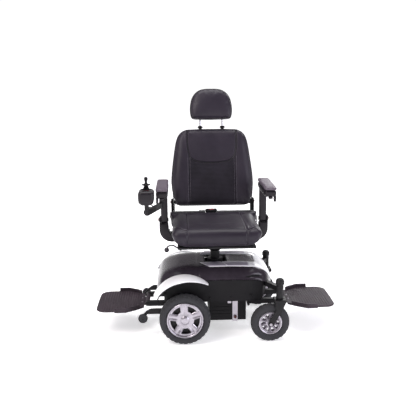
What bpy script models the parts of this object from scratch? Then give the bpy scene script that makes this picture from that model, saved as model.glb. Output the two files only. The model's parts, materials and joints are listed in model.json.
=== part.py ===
"""Power wheelchair: a compact base with a swivelling captain's seat, modelled in metres, +Z up.

The base lies along X, with the drive wheels at -X and the casters at +X. The seat is turned a
quarter turn on its post, so the occupant looks along -Y and the occupant's right is at -X.
"""
import math

import bmesh
import bpy
import numpy as np
from mathutils import Matrix, Vector

# ---------------------------------------------------------------- driving dimensions
GAP = 0.0003                  # clearance between pieces that touch
OVERSHOOT = 0.010             # how far a cutter runs on past an open face
RUNNING_GAP = 0.0003          # radial clearance of a shaft in its bore
TURNING_GAP = 0.0010          # side clearance of a part that turns beside another

# drive wheels
DRIVE_RADIUS = 0.133
DRIVE_WIDTH = 0.074
DRIVE_RIM_RADIUS = 0.097
DRIVE_AXLE_X = -0.1725
DRIVE_TRACK = 0.262           # centre line to wheel centre
DRIVE_SHAFT_RADIUS = 0.0085
DRIVE_SPOKES = 5
DRIVE_FACETS = 25
DRIVE_WINDOW = (0.047, 0.076)    # inner and outer radius of the openings between the spokes
DRIVE_HUB_FACE = 0.022           # wheel centre to the hub's outer face
DRIVE_HUB_BACK = 0.024           # wheel centre to the hub's inner face
DRIVE_RIM_FACE = 0.029
DRIVE_COLLAR_RADIUS = 0.016
GEARBOX_RADIUS = 0.049
GEARBOX_INSET = 0.004            # the gearbox's face inside the cover's side
SHAFT_BORE_DEPTH = 0.018
MOTOR_RADIUS = 0.040
MOTOR_Y = (0.012, 0.150)
MOTOR_MOUNT_Y = 0.172
MOTOR_MOUNT_HALF = (0.020, 0.016)

# casters
CASTER_RADIUS = 0.102
CASTER_WIDTH = 0.048
CASTER_RIM_RADIUS = 0.062
CASTER_TRAIL = 0.049
CASTER_PIVOT_X = 0.321
CASTER_TRACK = 0.258
CASTER_STEM_RADIUS = 0.008
CASTER_BOLT_RADIUS = 0.004
CASTER_LEG_GAP = 0.004        # tyre side to fork leg
CASTER_LEG_THICKNESS = 0.006
CROWN_TOP = 0.231
CROWN_THICKNESS = 0.014
CASTER_EYE = 0.015               # radius of the fork's end round the bolt
BOLT_HEAD_RADIUS = 0.0075
BOLT_HEAD_HEIGHT = 0.006
CASTER_WINDOW = (0.023, 0.047)
BARREL_RADIUS = 0.019
BARREL_TOP = 0.330
CASTER_SPOKES = 10
CASTER_FACETS = 20

# frame
RAIL_SIZE = 0.025
RAIL_Z = 0.285                # rail centre height
RAIL_Y = 0.120
REAR_BEAM_X = -0.2525
STRAP_BEAM_X = 0.098
FRONT_BEAM_X = 0.235
TOWER_RADIUS = 0.034
TOWER_TOP = 0.384
TOWER_BOTTOM = 0.250
TOWER_FLOOR = 0.006
COLLAR_WALL = 0.008              # how far the tower's collar stands out
COLLAR_HEIGHT = 0.022
POST_RADIUS = 0.025

# battery box
BOX_X = (-0.040, 0.158)
BOX_HALF_WIDTH = 0.150
BOX_Z = (0.072, 0.200)
BOX_WALL = 0.003
BATTERY_HEIGHT = 0.168
STRAP_WIDTH = 0.028
STRAP_THICKNESS = 0.003
STRAP_BOLT_RADIUS = 0.009
STRAP_BOLT_HEAD = 0.006
MODULE_X = (-0.235, -0.105)
MODULE_HALF_WIDTH = 0.128
MODULE_HEIGHT = 0.038

# covers
COVER_HALF_WIDTH = 0.210
COVER_RIM_Z = 0.320
COVER_TOP_Z = 0.375
COVER_WALL = 0.003
SKIRT_BOTTOM = 0.203
SKIRT_INSET = 0.0005          # the skirt's outer face inside the cover's rim
TRIM_THICKNESS = 0.004
TRIM_INNER = 0.36             # share of the cover's half width
TRIM_OUTER = 0.68
INSERT_THICKNESS = 0.0015

# mudguards
FENDER_RADIUS = 0.168
FENDER_CENTRE_Z = 0.183
FENDER_WIDTH = 0.086
FENDER_DROP = 0.016           # how far the outer edge lies below the inner one
FENDER_WALL = 0.0035

# anti-tip rollers
ROLLER_RADIUS = 0.025
ROLLER_WIDTH = 0.018
ROLLER_X = -0.394
ROLLER_Z = 0.115
ROLLER_PIN = 0.004
ANTI_TIP_Y = 0.184
ANTI_TIP_Z = (0.134, 0.162)
ANTI_TIP_HALF = 0.006
ANTI_TIP_EYE = 0.012             # radius of the arm's end round the roller's pin

# footplates
FOOT_HINGE_X = 0.375
FOOT_HINGE_Z = 0.150
FOOT_TIP_X = 0.650
FOOT_HALF_WIDTH = 0.165
FOOT_ROOT_HALF_WIDTH = 0.098
FOOT_THICKNESS = 0.009
FOOT_LIP_HEIGHT = 0.016
FOOT_ARM_Y = 0.070
FOOT_ARM_WIDTH = 0.024
FOOT_ARM_HEIGHT = 0.026
FOOT_PIN = 0.006
FOOT_FRONT_PLATE_X = 0.178    # mounting face of the plate at the caster end
FOOT_PLATE_WALL = 0.006
FOOT_PLATE_HALF_WIDTH = 0.095
FOOT_TREAD_DROP = 0.008       # tread face below the hinge
FOOT_KNUCKLE_RADIUS = 0.012
FOOT_LIP_WALL = 0.012

# seat
SWIVEL_Z = 0.455
SWIVEL_PLATE_RADIUS = 0.055
SPIGOT_RADIUS = 0.016
PAN_Z = 0.485
PAN_THICKNESS = 0.012
PAN_HALF_WIDTH = 0.205
PAN_Y = (-0.195, 0.186)
CUSHION_HALF_WIDTH = 0.245
CUSHION_Y = (-0.252, 0.184)
CUSHION_Z = (0.4975, 0.607)
CUSHION_ROUND = 0.034
CUSHION_SEAM_Y = 0.122           # seam across the top, in front of the belt
CUSHION_SEAM = 0.0012            # depth, and half the width, of that seam

# backrest, in its own upright frame: up from the hinge, forward to -Y
BACK_HINGE_Y = 0.208
BACK_HINGE_Z = 0.655
BACK_TILT = math.radians(15.0)
BACK_PIN = 0.006
BACK_BOTTOM = -0.028
BACK_TOP = 0.425
BACK_FRONT = 0.046
BACK_REAR = -0.034
BACK_HALF_WIDTH = 0.242
BACK_TOP_HALF_WIDTH = 0.176
PANEL_THICKNESS = 0.006
EAR_X = 0.2180                # inner face of the hinge ears
EAR_THICKNESS = 0.006
EAR_RADIUS = 0.016
EAR_KERF = 0.0015             # room in the cushion on each side of an ear
CHEEK_RADIUS = 0.015
CHEEK_THICKNESS = 0.005

# headrest, in the backrest's frame
POST_X = 0.064
HEAD_POST_RADIUS = 0.005
SLEEVE_RADIUS = 0.0095
SLEEVE_LENGTH = 0.150
HEAD_HALF_WIDTH = 0.129
HEAD_HEIGHT = 0.185
HEAD_DEPTH = 0.095
HEAD_GAP = 0.045                 # backrest's top to the headrest's bottom
HEAD_BOTTOM = BACK_TOP + HEAD_GAP
HEAD_LOOP = 0.045                # how far the posts' loop stands up inside the pad

# arms
ARM_X = (0.2575, 0.2955)      # the upright's inner and outer face
ARM_PIVOT_Y = 0.105
ARM_PIVOT_Z = 0.577
ARM_PIN = 0.008
ARM_DEPTH = 0.040
PAD_X = (0.2505, 0.3125)
PAD_Y = (-0.166, 0.135)
PAD_TOP = 0.804
PAD_THICKNESS = 0.021
HOUSING_HEIGHT = 0.041
ARM_BOSS = 0.012                 # radius of the pivot's heads
ARM_BOSS_HEAD = 0.004
BRACKET_MARGIN = 0.005           # the bracket's cheeks beyond the upright, at each side
BRACKET_ELBOW = 0.070
BRACKET_OUTER_X = 0.305
BRACKET_LOW_Z = 0.453

# joystick
STICK_X = -0.357
STICK_Y = -0.218
STICK_BOX_HALF = (0.0395, 0.053)
STICK_BOX_Z = (0.735, 0.808)
STICK_PIVOT_Z = 0.7965
STICK_TOP = 0.872
SWING_X = -0.287
SWING_Y = -0.010
SWING_PIN = 0.005
BAR_Z = (0.672, 0.702)
BAR_WIDTH = 0.014
BAR_BOSS = 0.013
STICK_POST_DY = 0.012         # the bar's end behind the housing's centre
STICK_PIVOT_DY = 0.014
STICK_POST_RADIUS = 0.011
STICK_WELL_RADIUS = 0.0216
STICK_WELL_DEPTH = 0.016      # below the pivot
GIMBAL_RADIUS = (0.0125, 0.0158)
GIMBAL_HALF_HEIGHT = 0.0030
TRUNNION_RADIUS = 0.0014
KEY_RADIUS = 0.0060
KEY_DX = 0.013
KEY_DY = -0.028
KNOB_SHARES = ((0.62, 0.007), (0.80, -0.007))   # thumb knobs: place along the bar, and height
THUMB_KNOB_RADIUS = 0.0075

# swivel lever
LEVER_X = -0.190
LEVER_Y = -0.110
LEVER_Z = 0.469
LEVER_ROD = 0.004
LEVER_PIN = 0.003
LEVER_BOSS = 0.0075
LEVER_LUG_RADIUS = 0.009
LEVER_LUG_WALL = 0.005
LEVER_LUG_OUTER = 0.012
LEVER_REACH = ((-0.232, 0.487), (-0.254, 0.482), (-0.262, 0.470))
KNOB_CENTRE = (-0.263, 0.462)
KNOB_RADIUS = 0.0135

# lap belt
WEB_WIDTH = 0.036
WEB_THICKNESS = 0.0025
BELT_Y = 0.151
TONGUE_X = (-0.082, -0.046)
TONGUE_HALF = 0.020
TONGUE_HEIGHT = 0.0060
BLADE_X = (-0.050, -0.034)
BLADE_HALF = 0.009
BLADE_Z = (0.0040, 0.0058)    # above the belt's underside
BLADE_ROOM = 0.0005
BUCKLE_X = (-0.0445, 0.0217)
BUCKLE_HALF = 0.022
BUCKLE_HEIGHT = 0.0145
BUTTON_X = (-0.022, 0.004)
BUTTON_HALF = 0.012
BUTTON_Z = (0.0118, 0.0165)
BUTTON_WELL_Z = 0.0085
LEAD_RADIUS = 0.0024

FINISHES = {
    "black_steel": ((0.012, 0.011, 0.013), 0.42, 0.0),
    "black_plastic": ((0.020, 0.018, 0.021), 0.60, 0.0),
    "gloss_black": ((0.016, 0.012, 0.015), 0.12, 0.0),
    "white_paint": ((0.85, 0.85, 0.86), 0.22, 0.0),
    "silver_paint": ((0.56, 0.53, 0.60), 0.32, 0.7),
    "zinc": ((0.62, 0.60, 0.62), 0.35, 1.0),
    "tyre_rubber": ((0.024, 0.023, 0.027), 0.80, 0.0),
    "vinyl": ((0.040, 0.033, 0.044), 0.48, 0.0),
    "pad_foam": ((0.150, 0.120, 0.150), 0.65, 0.0),
    "webbing": ((0.012, 0.012, 0.014), 0.85, 0.0),
    "red_plastic": ((0.28, 0.012, 0.025), 0.35, 0.0),
    "grey_case": ((0.10, 0.10, 0.11), 0.55, 0.0),
}


# ---------------------------------------------------------------- general helpers
def clear_scene():
    """Remove every object that the scene starts with."""
    for old in list(bpy.data.objects):
        bpy.data.objects.remove(old)


def finish(name, kind):
    """Return a new Principled material for one sub-part."""
    colour, roughness, metallic = FINISHES[kind]
    material = bpy.data.materials.new(name + "_" + kind)
    material.use_nodes = True
    shader = material.node_tree.nodes["Principled BSDF"]
    shader.inputs["Base Color"].default_value = (*colour, 1.0)
    shader.inputs["Roughness"].default_value = roughness
    shader.inputs["Metallic"].default_value = metallic
    material.diffuse_color = (*colour, 1.0)
    return material


def solid(mesh_data, name="tool"):
    """Turn a bmesh into an object in the scene, faces pointing out."""
    bmesh.ops.recalc_face_normals(mesh_data, faces=mesh_data.faces)
    mesh = bpy.data.meshes.new(name)
    mesh_data.to_mesh(mesh)
    mesh_data.free()
    made = bpy.data.objects.new(name, mesh)
    bpy.context.scene.collection.objects.link(made)
    return made


def box(low, high, bevel=0.0, segments=2):
    """A block between two corners, with all edges rounded by bevel."""
    data = bmesh.new()
    bmesh.ops.create_cube(data, size=1.0)
    size = Vector(high) - Vector(low)
    middle = (Vector(high) + Vector(low)) / 2
    bmesh.ops.scale(data, vec=size, verts=data.verts)
    bmesh.ops.translate(data, vec=middle, verts=data.verts)
    if bevel > 0:
        bmesh.ops.bevel(data, geom=data.edges[:], offset=bevel, segments=segments, profile=0.5,
                        affect="EDGES", clamp_overlap=True)
    return solid(data)


AXIS_FRAMES = {
    "X": Matrix(((0, 0, 1), (1, 0, 0), (0, 1, 0))),
    "Y": Matrix(((1, 0, 0), (0, 0, 1), (0, 1, 0))),
    "Z": Matrix(((1, 0, 0), (0, 1, 0), (0, 0, 1))),
}


def prism(outline, axis, low, high, bevel=0.0, segments=2):
    """Extrude an outline along an axis; its points are (y, z), (x, z) or (x, y) in turn."""
    data = bmesh.new()
    frame = AXIS_FRAMES[axis]
    bottom = [data.verts.new(frame @ Vector((u, v, low))) for u, v in outline]
    top = [data.verts.new(frame @ Vector((u, v, high))) for u, v in outline]
    caps = [data.faces.new(bottom), data.faces.new(top)]
    count = len(outline)
    for i in range(count):
        data.faces.new((bottom[i], bottom[(i + 1) % count], top[(i + 1) % count], top[i]))
    if bevel > 0:
        bmesh.ops.recalc_face_normals(data, faces=data.faces)
        rims = [edge for cap in caps for edge in cap.edges]
        bmesh.ops.bevel(data, geom=rims, offset=bevel, segments=segments, profile=0.5,
                        affect="EDGES", clamp_overlap=True)
    return solid(data)


def turned(profile, axis, centre, segments=32):
    """Turn a closed profile of (radius, height) points about an axis through centre."""
    data = bmesh.new()
    frame = AXIS_FRAMES[axis]
    origin = Vector(centre)
    rings = []
    for radius, height in profile:
        if radius < 1e-9:
            rings.append([data.verts.new(origin + frame @ Vector((0, 0, height)))])
            continue
        ring = []
        for i in range(segments):
            angle = 2 * math.pi * i / segments
            spoke = Vector((radius * math.cos(angle), radius * math.sin(angle), height))
            ring.append(data.verts.new(origin + frame @ spoke))
        rings.append(ring)
    for first, second in zip(rings, rings[1:] + rings[:1]):
        if len(first) == 1 and len(second) == 1:
            continue
        for i in range(segments):
            j = (i + 1) % segments
            corners = [first[i % len(first)], first[j % len(first)],
                       second[j % len(second)], second[i % len(second)]]
            unique = list(dict.fromkeys(corners))
            data.faces.new(unique)
    return solid(data)


def rod(start, end, radius, segments=16):
    """A round bar between two points."""
    line = Vector(end) - Vector(start)
    data = bmesh.new()
    bmesh.ops.create_cone(data, cap_ends=True, segments=segments, radius1=radius, radius2=radius,
                          depth=line.length)
    turn = Vector((0, 0, 1)).rotation_difference(line).to_matrix().to_4x4()
    place = Matrix.Translation((Vector(start) + Vector(end)) / 2)
    bmesh.ops.transform(data, matrix=place @ turn, verts=data.verts)
    return solid(data)


def beam(start, end, width, height):
    """A level rectangular bar between two points: width across, height upright."""
    along = Vector(end) - Vector(start)
    across = Vector((-along.y, along.x, 0)).normalized() * width / 2
    rise = Vector((0, 0, height / 2))
    data = bmesh.new()
    ends = []
    for point in (Vector(start), Vector(end)):
        ends.append([data.verts.new(point + a * across + b * rise)
                     for a, b in ((-1, -1), (1, -1), (1, 1), (-1, 1))])
    data.faces.new(ends[0])
    data.faces.new(ends[1])
    for i in range(4):
        j = (i + 1) % 4
        data.faces.new((ends[0][i], ends[0][j], ends[1][j], ends[1][i]))
    return solid(data)


def boolean(target, tool, operation, solver="EXACT"):
    """Join the tool to the target, or cut it away, and drop the tool."""
    step = target.modifiers.new("Boolean", "BOOLEAN")
    step.object = tool
    step.operation = operation
    step.solver = solver
    bpy.context.view_layer.update()
    graph = bpy.context.evaluated_depsgraph_get()
    result = bpy.data.meshes.new_from_object(target.evaluated_get(graph))
    target.modifiers.clear()
    target.data = result
    bpy.data.objects.remove(tool)
    return target


def join(target, *tools):
    """Weld tools to a target."""
    for tool in tools:
        boolean(target, tool, "UNION")
    return target


def weld(target, *tools):
    """Join tools whose faces lie flush with the target's, where the exact solver leaves slits."""
    for tool in tools:
        boolean(target, tool, "UNION", "MANIFOLD")
    return target


def cut(target, *tools):
    """Cut tools out of a target."""
    for tool in tools:
        boolean(target, tool, "DIFFERENCE")
    return target


def arc(centre, radius, start, end, steps):
    """Points on an arc, with its angles in degrees."""
    angles = np.radians(np.linspace(start, end, steps))
    return [(centre[0] + radius * math.cos(a), centre[1] + radius * math.sin(a)) for a in angles]


def rounded_rect(low, high, radius, steps=5):
    """Outline of a rectangle with round corners, counter-clockwise."""
    (x0, y0), (x1, y1) = low, high
    points = []
    for centre, start in (((x1 - radius, y0 + radius), -90), ((x1 - radius, y1 - radius), 0),
                          ((x0 + radius, y1 - radius), 90), ((x0 + radius, y0 + radius), 180)):
        points += arc(centre, radius, start, start + 90, steps)
    return points


def smooth_curve(points, steps):
    """Read steps points per span from a Catmull-Rom curve through the points."""
    knots = [np.array(p, dtype=float) for p in points]
    knots = [2 * knots[0] - knots[1]] + knots + [2 * knots[-1] - knots[-2]]
    curve = []
    for a, b, c, d in zip(knots, knots[1:], knots[2:], knots[3:]):
        for t in np.linspace(0, 1, steps, endpoint=False):
            curve.append(0.5 * (2 * b + (c - a) * t + (2 * a - 5 * b + 4 * c - d) * t ** 2
                                + (3 * b - a - 3 * c + d) * t ** 3))
    curve.append(knots[-2])
    return curve


def bent_bar(points, radius, sides=2):
    """A round bar along a curve, as a mesh."""
    curve = cord_curve("bar", points, radius, sides)
    bpy.context.view_layer.update()
    graph = bpy.context.evaluated_depsgraph_get()
    mesh = bpy.data.meshes.new_from_object(curve.evaluated_get(graph))
    bpy.data.objects.remove(curve)
    data = bmesh.new()
    data.from_mesh(mesh)
    bmesh.ops.remove_doubles(data, verts=data.verts, dist=0.00001)
    return solid(data)


def cord_curve(name, points, radius, sides=2):
    """A poly curve with a round bevel and filled caps."""
    data = bpy.data.curves.new(name, "CURVE")
    data.dimensions = "3D"
    data.bevel_depth = radius
    data.bevel_resolution = sides
    data.use_fill_caps = True
    spline = data.splines.new("POLY")
    spline.points.add(len(points) - 1)
    for place, point in zip(spline.points, points):
        place.co = (*point, 1.0)
    made = bpy.data.objects.new(name, data)
    bpy.context.scene.collection.objects.link(made)
    return made


class Chair:
    """Keeps the bodies' empties and names, places and parents each finished node."""

    def __init__(self):
        """Start with the empty that carries the whole chair."""
        self.pivots = {"chassis": self._empty("chassis", (0, 0, 0), None)}

    def _empty(self, name, place, parent):
        """Make one empty at a world place."""
        made = bpy.data.objects.new("pivot_" + name, None)
        made.empty_display_size = 0.05
        bpy.context.scene.collection.objects.link(made)
        made.parent = parent
        start = Vector((0, 0, 0)) if parent is None else self.world(parent)
        made.location = Vector(place) - start
        return made

    def world(self, empty):
        """Place of an empty in the model's frame."""
        place = Vector((0, 0, 0))
        while empty is not None:
            place += empty.location
            empty = empty.parent
        return place

    def body(self, name, place, parent):
        """Add a moving body: an empty on its joint's axis, carried by the parent's."""
        self.pivots[name] = self._empty(name, place, self.pivots[parent])

    def add(self, made, name, kind, body, smooth=35):
        """Name a finished solid, give it its material and hang it on its body's empty."""
        pivot = self.pivots[body]
        place = self.world(pivot)
        made.name = name
        made.data.name = name
        if made.type == "MESH":
            made.data.transform(Matrix.Translation(-place))
            made.data.shade_smooth()
            made.data.set_sharp_from_angle(angle=math.radians(smooth))
        else:
            for spline in made.data.splines:
                for point in spline.points:
                    point.co = (*(point.co.xyz - place), 1.0)
        made.data.materials.clear()
        made.data.materials.append(finish(name, kind))
        made.parent = pivot
        return made


SIDES = (("near", -1), ("far", 1))


# ---------------------------------------------------------------- covers
def cover_spine():
    """The upper cover's centre line as (x, z) points, from the drive end down to the nose."""
    top = COVER_TOP_Z
    keys = [(-0.322, 0.238), (-0.315, 0.290), (-0.285, 0.338), (-0.215, 0.366), (-0.140, top),
            (-0.075, top + 0.001), (0.050, top + 0.002), (0.150, top), (0.215, top - 0.006),
            (0.264, 0.345), (0.292, 0.306), (0.305, 0.262)]
    return smooth_curve(keys, 2)


def cover_point(spine, i, v):
    """A point on the cover: i steps along the spine, v from -1 to 1 across."""
    share = i / (len(spine) - 1)
    x, z = spine[i]
    end_fade = min(1.0, 6.0 * share * (1 - share))
    nose = max(0.0, (share - 0.62) / 0.38)
    half = COVER_HALF_WIDTH * (1 - 0.42 * nose ** 1.6)
    drop = (COVER_TOP_Z - COVER_RIM_Z) * abs(v) ** 7 * end_fade
    x_round = x * (1 - 0.11 * abs(v) ** 4 * (1 - end_fade))
    return Vector((x_round, v * half, z - drop))


COVER_STATIONS = (-1.0, -0.95, -0.87, -0.68, -0.36, 0.0, 0.36, 0.68, 0.87, 0.95, 1.0)


def cover_sheet(keep, lift, thickness):
    """A sheet that follows the cover, over the cells that keep(x, v) accepts."""
    spine = cover_spine()
    rows = len(spine)
    columns = len(COVER_STATIONS)
    points = [[cover_point(spine, i, v) for v in COVER_STATIONS] for i in range(rows)]

    def normal(i, j):
        """Outward normal of the cover at a grid point."""
        along = points[min(i + 1, rows - 1)][j] - points[max(i - 1, 0)][j]
        across = points[i][min(j + 1, columns - 1)] - points[i][max(j - 1, 0)]
        return along.cross(across).normalized()

    data = bmesh.new()
    layers = []
    for height in (lift, lift + thickness):
        layers.append([[data.verts.new(points[i][j] + normal(i, j) * height)
                        for j in range(columns)] for i in range(rows)])
    inner, outer = layers
    kept = set()
    for i in range(rows - 1):
        for j in range(columns - 1):
            x = (spine[i][0] + spine[i + 1][0]) / 2
            v = (COVER_STATIONS[j] + COVER_STATIONS[j + 1]) / 2
            if keep(x, v):
                kept.add((i, j))
    for i, j in kept:
        for layer in layers:
            data.faces.new((layer[i][j], layer[i + 1][j], layer[i + 1][j + 1], layer[i][j + 1]))
        sides = (((i - 1, j), (i, j), (i, j + 1)), ((i + 1, j), (i + 1, j + 1), (i + 1, j)),
                 ((i, j - 1), (i + 1, j), (i, j)), ((i, j + 1), (i, j + 1), (i + 1, j + 1)))
        for neighbour, a, b in sides:
            if neighbour not in kept:
                data.faces.new((inner[a[0]][a[1]], inner[b[0]][b[1]],
                                outer[b[0]][b[1]], outer[a[0]][a[1]]))
    loose = [vert for vert in data.verts if not vert.link_faces]
    bmesh.ops.delete(data, geom=loose, context="VERTS")
    return solid(data)


def caster_arm_line(side):
    """Ends of the arm from the front beam to a caster's head barrel."""
    start = Vector((FRONT_BEAM_X, side * RAIL_Y, RAIL_Z))
    end = Vector((CASTER_PIVOT_X, side * CASTER_TRACK, RAIL_Z))
    return start, end


def skirt_ring():
    """The skirt: a wall under the cover's rim, closed behind both ends of the cover."""
    spine = cover_spine()
    rim = [cover_point(spine, i, 1.0) for i in range(len(spine))]
    flank = [(p.x, p.y - SKIRT_INSET) for p in rim if -0.24 < p.x < 0.255]
    drive_end, nose_end = -0.280, 0.268
    flank = [(drive_end, 0.185), (drive_end + 0.014, COVER_HALF_WIDTH - 0.008)] + flank + [(nose_end, 0.120)]
    wall = COVER_WALL
    outer = flank + [(x, -y) for x, y in reversed(flank)]
    inside = [(x, y - wall) for x, y in flank]
    inside[0] = (drive_end + wall, flank[0][1] - wall)
    inside[-1] = (nose_end - wall, flank[-1][1] - wall)
    inner = inside + [(x, -y) for x, y in reversed(inside)]
    ring = prism(outer, "Z", SKIRT_BOTTOM, COVER_TOP_Z)
    cut(ring, prism(inner, "Z", SKIRT_BOTTOM - 0.01, COVER_TOP_Z + 0.01))
    brow = [(p.x, p.z - COVER_WALL - GAP) for p in rim if -0.24 < p.x < 0.262]
    side_view = [(drive_end - 0.01, SKIRT_BOTTOM - 0.01), (drive_end - 0.01, brow[0][1] - 0.030)] + brow
    side_view += [(nose_end + 0.01, brow[-1][1] - 0.016), (nose_end + 0.01, SKIRT_BOTTOM + 0.055),
                  (nose_end - 0.045, SKIRT_BOTTOM - 0.01)]
    return boolean(ring, prism(side_view, "Y", -0.3, 0.3), "INTERSECT")


def add_covers(chair):
    """Glossy upper cover, matte skirt, white trim with silver inlays."""
    upper = cover_sheet(lambda x, v: True, -COVER_WALL, COVER_WALL)
    hole_half = TOWER_RADIUS + 0.026
    cut(upper, prism(rounded_rect((-hole_half, -hole_half), (hole_half, hole_half), 0.02),
                     "Z", COVER_TOP_Z - 0.03, COVER_TOP_Z + 0.03))
    skirt = skirt_ring()
    for _, side in SIDES:
        start, end = caster_arm_line(side)
        for cover in (upper, skirt):
            cut(cover, beam(start, end, RAIL_SIZE + 0.006, RAIL_SIZE + 0.006))
    chair.add(upper, "upper_shroud", "gloss_black", "chassis", 50)
    chair.add(skirt, "lower_shroud", "black_plastic", "chassis")

    def on_trim(x, v):
        """Two arms beside the seat post that meet in a band over the nose."""
        if -0.085 < x < 0.225:
            return TRIM_INNER < abs(v) < TRIM_OUTER
        return x >= 0.225 and abs(v) < 0.87

    trim = cover_sheet(on_trim, GAP, TRIM_THICKNESS)
    chair.add(trim, "trim", "white_paint", "chassis", 50)
    lift = 2 * GAP + TRIM_THICKNESS
    for label, side in SIDES:
        inlay = cover_sheet(lambda x, v: -0.085 < x < 0.175 and TRIM_INNER < v * side < TRIM_OUTER,
                            lift, INSERT_THICKNESS)
        chair.add(inlay, "trim_insert_" + label, "silver_paint", "chassis", 50)


def add_fenders(chair):
    """White mudguards: an arched strip over each drive wheel, tapered to both ends."""
    start, end, steps = math.radians(158), math.radians(44), 17
    for label, side in SIDES:
        data = bmesh.new()
        grids = []
        for wall in (0.0, FENDER_WALL):
            grid = []
            for i in range(steps):
                share = i / (steps - 1)
                angle = start + (end - start) * share
                width = FENDER_WIDTH * (1 - 0.62 * abs(2 * share - 0.9) ** 2.6)
                row = []
                for across in (0.0, 0.45, 0.82, 1.0):
                    radius = FENDER_RADIUS + wall - FENDER_DROP * across ** 2.5
                    y = side * (COVER_HALF_WIDTH + GAP + width * across - wall * (across == 1.0))
                    x = DRIVE_AXLE_X + radius * math.cos(angle)
                    z = FENDER_CENTRE_Z + radius * math.sin(angle)
                    row.append(data.verts.new((x, y, z)))
                grid.append(row)
            grids.append(grid)
        columns = 4
        for grid in grids:
            for i in range(steps - 1):
                for j in range(columns - 1):
                    data.faces.new((grid[i][j], grid[i + 1][j], grid[i + 1][j + 1], grid[i][j + 1]))
        low, high = grids
        for i in range(steps - 1):
            for j in (0, columns - 1):
                data.faces.new((low[i][j], low[i + 1][j], high[i + 1][j], high[i][j]))
        for j in range(columns - 1):
            for i in (0, steps - 1):
                data.faces.new((low[i][j], low[i][j + 1], high[i][j + 1], high[i][j]))
        chair.add(solid(data), "fender_" + label, "white_paint", "chassis", 50)


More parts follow.
